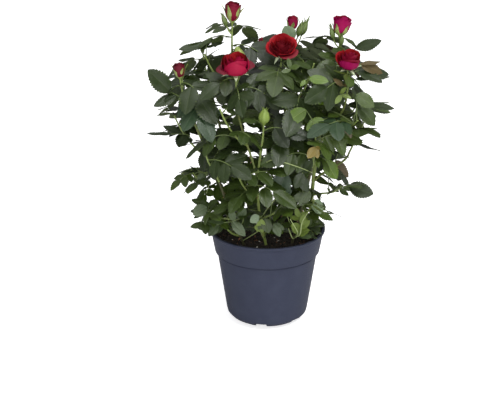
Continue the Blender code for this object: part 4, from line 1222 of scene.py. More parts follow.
def seenAt(spot):                    # the point at a spot, to the millimetre
    width, height = camera["framePixels"]
    eye = np.array(camera["place"])
    forward = np.array(camera["lookAt"]) - eye
    forward /= np.linalg.norm(forward)
    right = np.cross(forward, (0, 0, 1))
    right /= np.linalg.norm(right)
    ray = forward + right * ((spot.across - width / 2) / camera["focalPixels"])
    ray += np.cross(right, forward) * ((height / 2 - spot.down) / camera["focalPixels"])
    point = eye + ray * ((spot.y - eye[1]) / ray[1])
    return Vector([round(float(value), 3) for value in point])


# A sprig leaves a limb or stem at a share of it and runs through the spots of its path; each of its blades
# sits at a share of the path and has its tip, its width by its length, and its tilt from the sky to the front
Sprig = namedtuple("Sprig", "tone stem share path blades")

sprigs = [
    Sprig("dark", "spray_left_bud", 0.25, (Spot(177, 95.5, -0.034), Spot(170.5, 92, -0.040)), (
          (1, Spot(148, 69.5, -0.048), 0.58, 58), (0.6, Spot(153.4, 105, -0.052), 0.46, 44),
          (0.1, Spot(183, 115, -0.052), 0.55, 50))),
    Sprig("dark", "spray_left", 0.42, (Spot(188, 135, -0.014), Spot(171, 134, -0.022)), (
          (1, Spot(147, 133.3, -0.024), 0.32, 10), (0.72, Spot(163.3, 125, -0.004), 0.46, 24),
          (0.5, Spot(178, 146.8, -0.036), 0.55, 58), (0.3, Spot(191, 143, -0.020), 0.55, 40))),
    Sprig("dark", "spray_high_left", 0.92, (Spot(206.6, 44.8, 0.002),), (
          (1, Spot(178.4, 48.6, -0.006), 0.44, 24), (0.8, Spot(224, 42, 0.010), 0.50, 10))),
    Sprig("dark", "spray_high_right", 0.92, (Spot(353, 51.5, 0.018), Spot(355.4, 48.2, 0.015)), (
          (1, Spot(381, 39.8, 0.008), 0.46, 50), (0.2, Spot(340, 44.5, 0.016), 0.50, 30))),
    Sprig("bronze", "spray_right_bloom", 0.80, (Spot(358, 66, -0.046), Spot(361, 64, -0.044)), (
          (1, Spot(384, 73, -0.034), 0.42, 56), (0.85, Spot(381, 60.5, -0.030), 0.34, 20))),
    Sprig("dark", "spray_right_bloom", 0.45, (Spot(352, 80.5, -0.048), Spot(355, 79.3, -0.046)), (
          (1, Spot(390.8, 75.4, -0.040), 0.36, 18), (0.5, Spot(344, 84, -0.066), 0.50, 40))),
    Sprig("dark", "spray_right_front", 0.75, (Spot(357, 105, -0.058), Spot(361, 104.5, -0.054)), (
          (1, Spot(394.6, 107.6, -0.046), 0.38, 20),)),
    Sprig("mid", "spray_right_front", 0.70, (Spot(358, 106.5, -0.062),), (
          (1, Spot(375.4, 125.4, -0.066), 0.60, 56),)),
    Sprig("light", "spray_right_front", 0.95, (Spot(357, 94, -0.070),), (
          (1, Spot(374, 107, -0.078), 0.66, 62), (0.9, Spot(372.6, 98, -0.060), 0.34, 10))),
    Sprig("mid", "bough_right", 0.50, (Spot(344, 133, -0.030), Spot(351.6, 130.5, -0.040)), (
          (1, Spot(382.2, 133.6, -0.040), 0.26, 2),)),
    Sprig("dark", "bough_right", 0.80, (Spot(343, 146, -0.018), Spot(350, 142.5, -0.020)), (
          (1, Spot(382.2, 150.6, -0.016), 0.24, -6), (0.5, Spot(362.9, 139, -0.006), 0.34, 20))),
    Sprig("dark", "spray_front_right", 0.35, (Spot(326, 152, -0.060), Spot(331.7, 150.5, -0.040)), (
          (1, Spot(351, 156.8, -0.036), 0.32, 2),)),
    Sprig("bronze", "spray_low_back_right", 0.90, (Spot(334, 157, 0.060), Spot(336, 160, 0.050)), (
          (1, Spot(348.3, 177, 0.040), 0.50, 50),)),
    Sprig("young", "spray_front_right", 0.15, (Spot(320, 158, -0.076), Spot(326.5, 160, -0.072)), (
          (1, Spot(337.2, 179, -0.078), 0.68, 56), (0.3, Spot(319, 168, -0.084), 0.60, 50))),
    Sprig("amber", "spray_front_right", 0.55, (Spot(316, 146, -0.096), Spot(315, 147, -0.098)), (
          (1, Spot(308, 158, -0.104), 0.66, 58), (0.9, Spot(318, 158, -0.104), 0.60, 58),
          (0.6, Spot(321, 149, -0.100), 0.60, 40))),
    Sprig("dark", "spray_right_low", 0.85, (Spot(342, 187, -0.012), Spot(349, 185.5, -0.016)), (
          (1, Spot(373, 194, -0.030), 0.62, 74), (0.93, Spot(341.5, 173.5, -0.010), 0.42, 40),
          (0.86, Spot(354.8, 194.2, -0.030), 0.16, -14))),
    Sprig("pale", "spray_rim_right", 0.90, (Spot(319, 206, -0.062), Spot(323.5, 207, -0.058)), (
          (1, Spot(311.5, 205.5, -0.074), 0.86, 62),)),
    Sprig("dark", "spray_rim_right", 0.86, (Spot(321, 209.5, -0.056), Spot(325.3, 210.5, -0.054)), (
          (1, Spot(343, 216.3, -0.056), 0.20, -8), (0.9, Spot(323, 202, -0.054), 0.42, 40))),
    Sprig("mid", "spray_rim_left", 0.72, (Spot(208, 206, -0.060),), (
          (1, Spot(191.5, 199, -0.056), 0.48, 32), (0.95, Spot(216.5, 200, -0.064), 0.62, 44))),
    Sprig("grey", "spray_rim_left", 0.80, (Spot(206.5, 207, -0.066),), (
          (1, Spot(192.8, 214.5, -0.076), 0.80, 60),)),
    Sprig("mid", "spray_rim_left", 0.92, (Spot(205, 217, -0.066), Spot(204.3, 222.6, -0.072)), (
          (1, Spot(190, 226.6, -0.074), 0.56, 34), (0.98, Spot(206, 234.2, -0.088), 0.60, 58),
          (0.6, Spot(213, 225, -0.070), 0.50, 50))),
    Sprig("grey", "spray_left_low", 0.72, (Spot(201.4, 173, -0.024),), (
          (1, Spot(203.6, 187.2, -0.036), 0.66, 60),)),
    Sprig("dark", "spray_left_low", 0.86, (Spot(199, 171, -0.020),), (
          (1, Spot(184.3, 170.8, -0.022), 0.34, 10), (0.8, Spot(189.8, 165.6, -0.010), 0.30, 0))),
    Sprig("grey", "cane_front_left", 0.22, (Spot(243.5, 218, -0.076), Spot(232, 221.5, -0.084),
          Spot(224, 222.5, -0.088)), (
          (1, Spot(208, 220.2, -0.090), 0.44, 24), (0.62, Spot(231, 210, -0.088), 0.56, 60),
          (0.5, Spot(245, 208, -0.086), 0.60, 60), (0.66, Spot(245, 236, -0.094), 0.50, 60))),
    Sprig("teal", "tuft_front", 0.50, (Spot(272, 205, -0.082), Spot(278.5, 195, -0.086)), (
          (1, Spot(286, 172.6, -0.084), 0.80, 66), (0.85, Spot(291.5, 190, -0.088), 0.62, 60))),
    Sprig("pale", "tuft_front", 0.30, (Spot(262, 218, -0.080), Spot(258.5, 215.5, -0.088)), (
          (1, Spot(250.2, 222.4, -0.094), 0.78, 62),)),
    Sprig("mid", "tuft_front", 0.60, (Spot(265, 218.5, -0.084),), (
          (1, Spot(268.5, 233, -0.092), 0.74, 62), (0.9, Spot(258, 229, -0.090), 0.60, 60))),
    Sprig("grey", "tuft_front", 0.85, (Spot(274, 224, -0.080),), (
          (1, Spot(280, 236.6, -0.090), 0.58, 60), (0.9, Spot(284.5, 229, -0.080), 0.60, 50))),
    Sprig("grey", "spray_rim_right", 0.30, (Spot(290, 216, -0.078),), (
          (1, Spot(288.6, 196.2, -0.084), 0.22, 50),)),
    Sprig("mid", "tuft_front_right", 0.55, (Spot(307, 226, -0.052),), (
          (1, Spot(318.4, 218.8, -0.044), 0.72, 60), (0.8, Spot(309, 214, -0.060), 0.55, 50))),
    Sprig("grey", "tuft_front_right", 0.25, (Spot(301, 236, -0.066),), (
          (1, Spot(311.4, 236.8, -0.074), 0.52, 44),)),
    Sprig("pale", "spray_back_bud", 0.62, (Spot(291.5, 41.5, 0.026),), (
          (1, Spot(285, 26.6, 0.020), 0.86, 60),)),
    Sprig("dark", "spray_high_back", 0.92, (Spot(312, 56, 0.050), Spot(317, 51, 0.040)), (
          (1, Spot(321.4, 37, 0.034), 0.80, 60), (0.7, Spot(306, 50, 0.040), 0.50, 30))),
    Sprig("young", "spray_front_right", 0.96, (Spot(313, 122, -0.092), Spot(305.9, 109.5, -0.088)), (
          (1, Spot(287, 123.6, -0.096), 0.62, 62), (0.45, Spot(322, 130, -0.100), 0.60, 50))),
    Sprig("young", "spray_right_front", 0.40, (Spot(330, 119, -0.070), Spot(324, 119.5, -0.082)), (
          (1, Spot(306.6, 129.8, -0.092), 0.66, 60),)),
    Sprig("young", "spray_centre_right", 0.35, (Spot(306, 100, -0.060), Spot(313.8, 100, -0.070)), (
          (1, Spot(331, 100.4, -0.072), 0.58, 46),)),
    Sprig("dark", "cane_front_right", 0.62, (Spot(301, 178, -0.094), Spot(303, 172, -0.100)), (
          (1, Spot(312, 160, -0.104), 0.60, 50), (0.95, Spot(295, 188, -0.104), 0.62, 62),
          (0.6, Spot(308, 192, -0.100), 0.60, 60))),
    Sprig("mid", "cane_front_right", 0.40, (Spot(307, 196, -0.090), Spot(310, 191, -0.094)), (
          (1, Spot(299, 206, -0.102), 0.56, 62), (0.6, Spot(292, 201, -0.098), 0.54, 60))),
    Sprig("fresh", "tuft_front_right", 0.70, (Spot(300, 222, -0.070), Spot(299, 217, -0.074)), (
          (1, Spot(296, 208, -0.078), 0.46, 50), (0.9, Spot(305, 211, -0.076), 0.46, 56),
          (0.8, Spot(290, 217, -0.082), 0.42, 50), (0.5, Spot(308, 219, -0.080), 0.46, 56),
          (0.4, Spot(291, 226, -0.084), 0.42, 50))),
    Sprig("fresh", "tuft_front_right", 0.30, (Spot(299, 233, -0.070), Spot(301.6, 224, -0.078)), (
          (1, Spot(304.5, 214.5, -0.084), 0.50, 56), (0.8, Spot(309, 221, -0.086), 0.50, 60),
          (0.55, Spot(293, 224, -0.086), 0.56, 60), (0.4, Spot(308, 230, -0.082), 0.50, 60))),
    Sprig("fresh", "tuft_front", 0.25, (Spot(263.7, 238, -0.072), Spot(260.3, 231, -0.082)), (
          (1, Spot(254.5, 226, -0.088), 0.50, 60), (0.9, Spot(261.5, 220.5, -0.094), 0.50, 60))),
    Sprig("light", "spray_middle_bloom", 0.75, (Spot(289, 71, -0.078), Spot(290, 68, -0.082)), (
          (1, Spot(300, 66, -0.086), 0.50, 60), (1, Spot(288, 58.5, -0.080), 0.50, 50),
          (0.8, Spot(281, 72, -0.088), 0.50, 60))),
    Sprig("fresh", "spray_right_bloom", 0.30, (Spot(340, 92, -0.070), Spot(342, 95, -0.078)), (
          (1, Spot(335, 104, -0.084), 0.50, 60), (1, Spot(351, 98, -0.080), 0.46, 50),
          (0.8, Spot(346, 87, -0.078), 0.46, 50))),
    Sprig("bronze", "spray_right_bloom", 0.40, (Spot(343, 86, -0.068),), (
          (1, Spot(354, 82, -0.062), 0.40, 40), (1, Spot(334, 79, -0.072), 0.45, 50))),
    Sprig("bronze", "spray_right_front", 0.50, (Spot(346, 126, -0.074),), (
          (1, Spot(347, 141.5, -0.080), 0.85, 62),)),
    Sprig("young", "spray_centre_right", 0.75, (Spot(306, 80, -0.078), Spot(309.6, 78.8, -0.088)), (
          (1, Spot(328.4, 80.6, -0.092), 0.54, 50), (0.6, Spot(300, 86, -0.090), 0.50, 50))),
]

# Thin shoots: where they start, the points they run through, and their radius at the foot and at the tip
shoots = [
    (("cane_front", 0.60), ((-0.026, -0.104, 0.260), (-0.046, -0.106, 0.276)), (0.0008, 0.0005)),
    (("cane_front", 0.78), ((0.002, -0.098, 0.279), (0.018, -0.110, 0.282), (0.042, -0.112, 0.275),
                            (0.063, -0.100, 0.262)), (0.0008, 0.0005)),
    (("cane_front", 0.28), ((0.004, -0.088, 0.210), (0.018, -0.098, 0.230)), (0.0009, 0.0005)),
    (("tuft_front_right", 0.4), ((0.028, -0.078, 0.190), (0.036, -0.088, 0.200)), (0.0008, 0.0005)),
    (("spray_left_low", 0.60), ((-0.082, -0.040, 0.232), (-0.087, -0.050, 0.212)), (0.0007, 0.0004)),
    (("cane_front_left", 0.06), ((-0.012, -0.060, 0.160), (-0.006, -0.070, 0.176)), (0.0009, 0.0006)),
    (("tuft_front_right", 0.1), ((0.041, -0.060, 0.150), (0.046, -0.064, 0.166)), (0.0011, 0.0006)),
    (("tuft_front_right", 0.2), ((0.036, -0.064, 0.150), (0.030, -0.066, 0.166)), (0.0010, 0.0006)),
    (("tuft_front_right", 0.05), (seenAt(Spot(299.5, 234, -0.084)), seenAt(Spot(302.5, 222, -0.094)),
                                  seenAt(Spot(309, 211, -0.098))), (0.0011, 0.0006)),
    (("tuft_front_right", 0.08), (seenAt(Spot(298, 233, -0.086)), seenAt(Spot(290, 219, -0.096))),
     (0.0010, 0.0006)),
]


carriers = {**limbs, **stems}         # what sprigs and shoots start from
sprigRadii = (0.0009, 0.00055)


def makeSprigs():
    piles = {}
    for number, sprig in enumerate(sprigs):
        rng = random.Random(1300 + number)
        pile = piles.setdefault(sprig.tone, Pile())
        points = [pointOn(carriers[sprig.stem], sprig.share), *map(seenAt, sprig.path)]
        stalk = [Vector(point) for point in smoothPath(points, 5 * len(sprig.path))]
        addTube(pile, np.array(stalk), sprigRadii, 6, 3)
        for share, tip, width, tilt in sprig.blades:
            root = pointOn(stalk, share)
            reach = seenAt(tip) - root
            along = reach.normalized()
            angle = math.radians(tilt + rng.uniform(-6, 6))
            facing = up * math.cos(angle) + Vector((rng.uniform(-0.15, 0.15), -1, 0)) * math.sin(angle)
            blade = Blade(root, along, crosswise(along, facing), reach.length, reach.length * width,
                          rng.uniform(0.04, 0.16), rng.uniform(0.02, 0.09), 2)
            addBlade(pile, blade, rng, (0, 1, 2))
    for tone, pile in piles.items():
        makePiece(f"sprigs_{tone}", pile, [*materials[tone], materials["leafStalk"]], [], 50)


def makeShoots():
    pile = Pile()
    for (name, share), path, radii in shoots:
        points = smoothPath([pointOn(carriers[name], share), *map(Vector, path)], 8 * len(path))
        addTube(pile, points, radii, 7, 0)
    makePiece("thin_shoots", pile, [materials["thinShoot"]], [], 60)


makeSprigs()
makeShoots()


# Flowers

# Each ring of petals: count, rim radius and height, where the bend between foot and rim lies as shares
# of those two, half-angle in degrees, and how far the rim rolls back; millimetres at size 1
petalRings = {
    "bloom": ((4, 25.5, 12.0, 0.60, 0.92, 44, 3.4), (4, 20.5, 19.5, 0.98, 0.28, 54, 4.0),
              (3, 15.4, 25.0, 1.20, 0.18, 70, 3.0), (3, 10.8, 28.2, 1.30, 0.18, 76, 2.2),
              (3, 6.8, 29.6, 1.40, 0.20, 84, 1.2), (2, 3.6, 29.4, 1.4, 0.20, 100, 0.3)),
    "open": ((3, 23.5, 17.0, 0.74, 0.72, 52, 3.2), (4, 20.4, 22.0, 1.02, 0.26, 58, 3.8),
             (3, 16.0, 26.4, 1.20, 0.18, 72, 3.2), (3, 11.6, 29.4, 1.30, 0.18, 78, 2.6),
             (3, 7.4, 31.0, 1.40, 0.20, 84, 1.4), (3, 4.0, 31.4, 1.40, 0.20, 96, 0.5),
             (2, 1.8, 30.8, 1.6, 0.20, 110, 0.1)),
    "cup": ((2, 23.0, 13.0, 0.66, 0.90, 44, 2.6), (3, 15.6, 26.0, 1.85, 0.08, 60, 1.0),
            (3, 13.6, 27.6, 1.60, 0.24, 72, 1.8), (3, 10.4, 29.4, 1.50, 0.26, 76, 1.6),
            (3, 7.0, 29.4, 1.5, 0.26, 82, 0.9), (2, 3.6, 29.2, 1.5, 0.26, 100, 0.3)),
    "half": ((3, 14.2, 23.5, 1.30, 0.26, 66, 2.8), (3, 12.2, 27.0, 1.40, 0.22, 76, 2.2),
             (3, 9.6, 29.4, 1.40, 0.2, 80, 1.6), (3, 6.2, 30.6, 1.4, 0.2, 84, 0.8),
             (2, 3.4, 30.2, 1.4, 0.2, 100, 0.3)),
    "flat": ((3, 10.8, 27.4, 1.20, 0.20, 80, 1.9), (3, 8.6, 28.8, 1.30, 0.20, 84, 1.4),
             (3, 6.0, 29.6, 1.4, 0.2, 86, 0.8), (2, 3.2, 29.6, 1.5, 0.2, 100, 0.3)),
    "bud": ((3, 9.4, 28.0, 1.36, 0.20, 80, 1.3), (3, 7.4, 30.0, 1.46, 0.2, 84, 1.0),
            (3, 5.2, 31.0, 1.5, 0.2, 86, 0.6), (2, 3.0, 30.8, 1.6, 0.2, 100, 0.2)),
}
# How much lower a petal's rim is at its ends, and where round the axis the first petal stands
cornerDrop = {"bloom": 0.18, "open": 0.20, "cup": 0.15, "half": 0.15, "flat": 0.06, "bud": 0.06}
firstPetal = {"bloom": 0.8, "open": 1.0, "cup": 0.0, "half": 4.4}
petalForm = {
    "rows": 16,
    "columns": 15,
    "thick": 0.38,                   # this and the next in millimetres at size 1
    "foot": (2.2, 2.6),              # radius and height
    "curl": (0.70, 0.30),            # where the rim begins to roll back, and over how much of the petal
    "wave": 0.022,
}
sepalForm = {
    "rows": 15,
    "columns": 7,
    "thick": 0.45,
}
# Flowers that differ from their kind, by spray and number: another form, another size, another bearing and
# lean, and how far down its axis one sits
flowerForm = {
    ("spray_left_bloom", 0): "cup",
    ("spray_left_bloom", 1): "shut",
    ("spray_middle_bloom", 0): "open",
    ("spray_right_bud", 0): "flat",
    ("spray_green_bud", 0): "round",
    ("spray_back_left", 0): "green",
}
flowerGrow = {("spray_left_bud", 0): 1.2, ("spray_back_left", 0): 0.8, ("spray_right_bud", 0): 1.06}
flowerLean = {("spray_left_bloom", 1): (165, 14)}
flowerSink = {("spray_right_bud", 0): 0.0045}
sepalShape = {        # count, length and width in millimetres, how far up they hug, and how far they spread
    "bloom": (5, 21, 7.5, (0.12, 0.25), 1.9),
    "half": (5, 15, 6.5, (0.30, 0.45), 1.5),
    "flat": (5, 19, 9.5, (0.60, 0.75), 0.55),
    "bud": (5, 27, 10.5, (0.42, 0.80), 0.32),
    "cup": (5, 18, 9.5, (0.20, 0.32), 1.45),
    "open": (5, 21, 7.5, (0.12, 0.25), 1.9),
    "green": (5, 27, 6.4, (0.58, 0.72), 0.16),
    "round": (5, 20, 8.6, (0.74, 0.88), 0.30),
    "shut": (5, 26, 13.0, (0.80, 0.95), 0.20),
}
bodyProfile = {       # radius and height of what the sepals lie on, in millimetres
    "bloom": ((3.2, 3), (8, 6), (14, 9), (19, 12)),
    "cup": ((3.2, 1.8), (8, 2.6), (14, 4.2), (19, 8)),
    "open": ((3.2, 3), (8, 6), (14, 9), (19, 12)),
    "half": ((3.4, 1.6), (7, 3.0), (10.4, 4.6), (13.2, 7.2), (15.4, 11.0)),
    "flat": ((3.8, 2.5), (8.8, 7), (10.7, 12), (11.3, 18), (11.3, 26)),
    "bud": ((3.6, 3), (7.4, 8), (9.8, 14), (10.2, 20), (8.6, 28)),
    "green": ((2.6, 2), (3.8, 6), (4.1, 9), (2.8, 15), (1.0, 20)),
    "round": ((3.0, 1.5), (4.7, 4.0), (5.3, 7.5), (4.3, 11.5), (1.8, 15.5)),
    "shut": ((3.6, 3), (6.4, 8), (7.0, 14), (5.6, 20), (2.4, 26)),
}
hipProfile = ((1.1, -2.2), (1.7, -0.8), (2.9, 0.8), (3.7, 2.6), (3.8, 4.2), (2.6, 5.4))
millimetre = 0.001


def flowerFrame(flower, base):
    axis = np.array(leaning(flower.bearing, flower.lean))
    side = np.array(crosswise(Vector(axis), Vector((1, 0.2, 0))))
    return np.array(base), axis, side, np.cross(axis, side)


def addSheet(pile, frame, radius, angle, height, thick, slots):      # slots: outer side, inner side
    base, axis, side, other = frame
    spokes = side * np.cos(angle)[..., None] + other * np.sin(angle)[..., None]
    points = base + spokes * radius[..., None] + axis * height[..., None]
    normal = np.cross(np.gradient(points, axis=1), np.gradient(points, axis=0))
    normal /= np.maximum(np.linalg.norm(normal, axis=2), 1e-12)[..., None]
    addShell(pile, points, normal, thick, (slots[0], slots[1], slots[0]))


def addPetal(pile, frame, size, turn, ring, drop, slots, rng):
    _, rim, top, bendOut, bendUp, halfAngle, roll = ring
    u = np.linspace(0, 1, petalForm["rows"])[:, None]
    v = np.linspace(-1, 1, petalForm["columns"])[None, :]
    rim = rim * rng.uniform(1 - 0.6 * drop, 1 + 0.4 * drop)
    top = top * rng.uniform(1 - 0.4 * drop, 1 + 0.2 * drop)
    roll = roll * rng.uniform(0.7, 1.25)
    phase = rng.uniform(0, 6.28)
    along = u * (1 - drop * np.abs(v) ** 3 + 0.15 * drop * np.exp(-(v / 0.2) ** 2) * u)
    rest = 1 - along
    footRadius, footHeight = petalForm["foot"]
    radius = footRadius * rest ** 2 + 2 * rest * along * rim * bendOut + rim * along ** 2
    height = footHeight * rest ** 2 + 2 * rest * along * top * bendUp + top * along ** 2
    curlFrom, curlOver = petalForm["curl"]
    curl = np.clip((along - curlFrom) / curlOver, 0, 1)
    radius = radius + roll * (1 - np.cos(1.7 * curl))
    height = height - roll * 0.75 * curl ** 3
    edge = np.abs(v) ** 4 * along ** 2
    radius = radius + edge * roll * 0.6 + 0.085 * rim * v * along
    wave = petalForm["wave"] * (rim * along ** 3)
    radius = radius + wave * np.sin(3.4 * v + phase)
    height = height + wave * np.cos(3.6 * v + phase * 2) - 0.4 * edge * roll
    outline = np.sin(math.pi * (0.10 + 0.62 * u)) ** 0.8
    angle = turn + v * math.radians(halfAngle) * outline + 0.08 * along * np.sin(phase)
    scale = size * millimetre
    addSheet(pile, frame, radius * scale, angle, height * scale, petalForm["thick"] * millimetre, slots)


def addPetals(pile, form, flower, frame, rng, slots):
    turn = firstPetal.get(form, rng.uniform(0, 6.28))
    inner, outer, lowInner, lowOuter = slots
    for number, ring in enumerate(petalRings[form]):
        for petal in range(ring[0]):
            place = turn + 2 * math.pi * petal / ring[0] + rng.uniform(-0.12, 0.12)
            sides = (outer, inner) if number else (lowOuter, lowInner)
            addPetal(pile, frame, flower.size, place, ring, cornerDrop[form], sides, rng)
        turn += math.radians(growth["goldenAngle"]) + rng.uniform(-0.2, 0.2)


def addSepals(pile, form, flower, frame, rng, slots):
    count, length, width, hug, spread = sepalShape[form]
    profile = np.array(bodyProfile[form], float)
    steps = np.concatenate([[0], np.cumsum(np.linalg.norm(np.diff(profile, axis=0), axis=1))])
    u = np.linspace(0, 1, sepalForm["rows"])[:, None] + np.zeros((1, sepalForm["columns"]))
    v = np.linspace(-1, 1, sepalForm["columns"])[None, :]
    turn = rng.uniform(0, 6.28)
    for sepal in range(count):
        reach = length * rng.uniform(0.85, 1.12)
        away = spread + rng.uniform(-0.25, 0.35) * (flower.kind != "bloom")
        hugged = rng.uniform(*hug)
        place = np.minimum(u, hugged) * reach
        radius = np.interp(place, steps, profile[:, 0]) + 0.45
        height = np.interp(place, steps, profile[:, 1])
        free = np.maximum(u - hugged, 0) * reach
        bend = math.pi / 2 - away - 0.35 * free / reach
        radius = radius + free * np.cos(bend)
        height = height + free * np.sin(bend)
        half = width / 2 * np.maximum((1 - u) * (1 + 0.7 * u), 0.035)
        angle = turn + 2 * math.pi * sepal / count + v * np.minimum(half / np.maximum(radius, 1.2), 0.78)
        radius = radius + 0.35 * (1 - v ** 2) * half * 0.6
        scale = flower.size * millimetre
        addSheet(pile, frame, radius * scale, angle, height * scale, sepalForm["thick"] * millimetre, slots)


def addLathe(pile, frame, profile, sides, size, slot, ridges=0.0):
    base, axis, side, other = frame
    angle = np.linspace(0, 2 * math.pi, sides, endpoint=False)
    profile = np.array(profile, float) * size * millimetre
    swell = 1 + ridges * np.cos(5 * angle)
    ring = side * np.cos(angle)[:, None] + other * np.sin(angle)[:, None]
    radii, heights = profile[:, 0][:, None], profile[:, 1]
    body = base + (radii * swell)[..., None] * ring[None] + axis * heights[:, None, None]
    ends = [base + axis * heights[0], base + axis * heights[-1]]
    pile.add(np.vstack([body.reshape(-1, 3), ends]), gridFaces(len(profile), sides, closed=True), slot)
    closeEnds(pile, len(profile), sides, slot)


def smoothProfile(profile, steps):
    path = smoothPath([(radius, height, 0) for radius, height in profile], steps)
    return path[:, :2]


# Petal colours of each flower by spray: inner and outer side, then those of its outermost ring
petalColours = {
    "spray_tall_bud": ("petalDeep", "petalDark", "petalDeep", "petalDark"),
    "spray_left_bloom": ("petalFace", "petalRose", "petalWine", "petalBack"),
    # the middle bloom's outer sides and outermost ring take a darker copy of its red: painted shade between
    # its petals
    "spray_middle_bloom": ("petalFace", "petalDeep", "petalDeep", "petalDeep"),
    "spray_back_bud": ("petalBack", "petalBack", "petalBack", "petalMauve"),
    "spray_right_bud": ("petalBack", "petalPink", "petalPink", "petalPink"),
    "spray_right_bloom": ("petalFace", "petalBack", "petalFace", "petalPink"),
    "spray_left_bud": ("petalDeep", "petalWine", "petalDeep", "petalWine"),
    "spray_back_left": ("petalBack", "petalPink", "petalPink", "petalPink"),
    "spray_rear": ("petalFace", "petalBack", "petalBack", "petalBack"),
}
petalSlots = list(petalTones)
greenSlots = ("sepalGreen", "budGreen", "greenStem", "budDeep", "budFresh", "sepalPale")
budSlots = {"green": 3, "round": 4}                      # others show pale sepals over a pale body


def makeFlowers():
    petals = Pile()
    greens = Pile()
    flowering = [name for name, spray in sprays.items() if spray.flowers]
    for number, name in enumerate(flowering):
        rng = random.Random(900 + number)
        for place, flower in enumerate(sprays[name].flowers):
            form = flowerForm.get((name, place), flower.kind)
            stalk = budStalk(flower, stems[name])
            if stalk:
                addTube(greens, smoothPath(stalk, 8), (0.0011, 0.0009), 7, 2)
            bearing, lean = flowerLean.get((name, place), (flower.bearing, flower.lean))
            flower = flower._replace(bearing=bearing, lean=lean,
                                     size=flower.size * flowerGrow.get((name, place), 1))
            foot = Vector(stalk[-1] if stalk else stems[name][-1])
            foot -= leaning(bearing, lean) * flowerSink.get((name, place), 0)
            frame = flowerFrame(flower, foot)
            body, leafy = (budSlots[form],) * 2 if form in budSlots else (1, 0)
            if form in ("green", "round", "shut"):
                profile = bodyProfile[form]
                shape = [(1.0, 1), *profile, (0.5, profile[-1][1] + 1.5)]
                addLathe(greens, frame, smoothProfile(shape, 14), 15, flower.size, body, ridges=0.05)
            else:
                slots = [petalSlots.index(colour) for colour in petalColours[name]]
                addPetals(petals, form, flower, frame, rng, slots)
            addLathe(greens, frame, smoothProfile(hipProfile, 9), 12, flower.size, body)
            addSepals(greens, form, flower, frame, rng, (leafy, 5 if sepalShape[form][4] > 1 else body))
    for name, pile, slots in (("petals", petals, petalSlots), ("sepals_and_hips", greens, greenSlots)):
        makePiece(name, pile, [materials[slot] for slot in slots], flowering, 50)


makeFlowers()


# Pot and compost

potForm = {
    "sides": 180,
    "round": 0.0004,                 # rounding of the band and rim edges
    "foot": ((0.0425, 0.0), (0.0478, 0.0022), (0.0546, 0.0062), (0.0590, 0.0112), (0.0603, 0.0170)),
    "groove": ((0.0735, 0.1034), (0.0728, 0.1040)),          # under the band
    "shoulder": (0.0729, 0.1062),
    "band": (0.0771, 0.1070),
    "insideBand": 0.0016,            # how far the inner turns lie over the outer ones, and further out
    "insideShoulder": (0.0010, 0.0006),
    "floor": ((0.0545, 0.0114), (0, 0.0114), (0, 0.0100), (0.0392, 0.0100), (0.0400, 0)),
    "notches": 6,
    "notchTurn": -10,                # degrees
    "notchHalf": 0.009,
    "notchHeight": 0.0096,
    "notchDepth": 0.0125,
}


def roundedProfile(corners, radius, steps=4):        # the same profile with each corner turned to a small arc
    rounded = []
    count = len(corners)
    for index, (x, y) in enumerate(corners):
        before = Vector(corners[index - 1])
        here = Vector((x, y))
        after = Vector(corners[(index + 1) % count])
        if x == 0 or index == 0:
            rounded.append((x, y))
            continue
        reachIn = min(radius, (before - here).length * 0.4)
        reachOut = min(radius, (after - here).length * 0.4)
        start = here + (before - here).normalized() * reachIn
        end = here + (after - here).normalized() * reachOut
        for step in range(steps + 1):
            share = step / steps
            point = start.lerp(here, share).lerp(here.lerp(end, share), share)
            rounded.append((point.x, point.y))
    return rounded


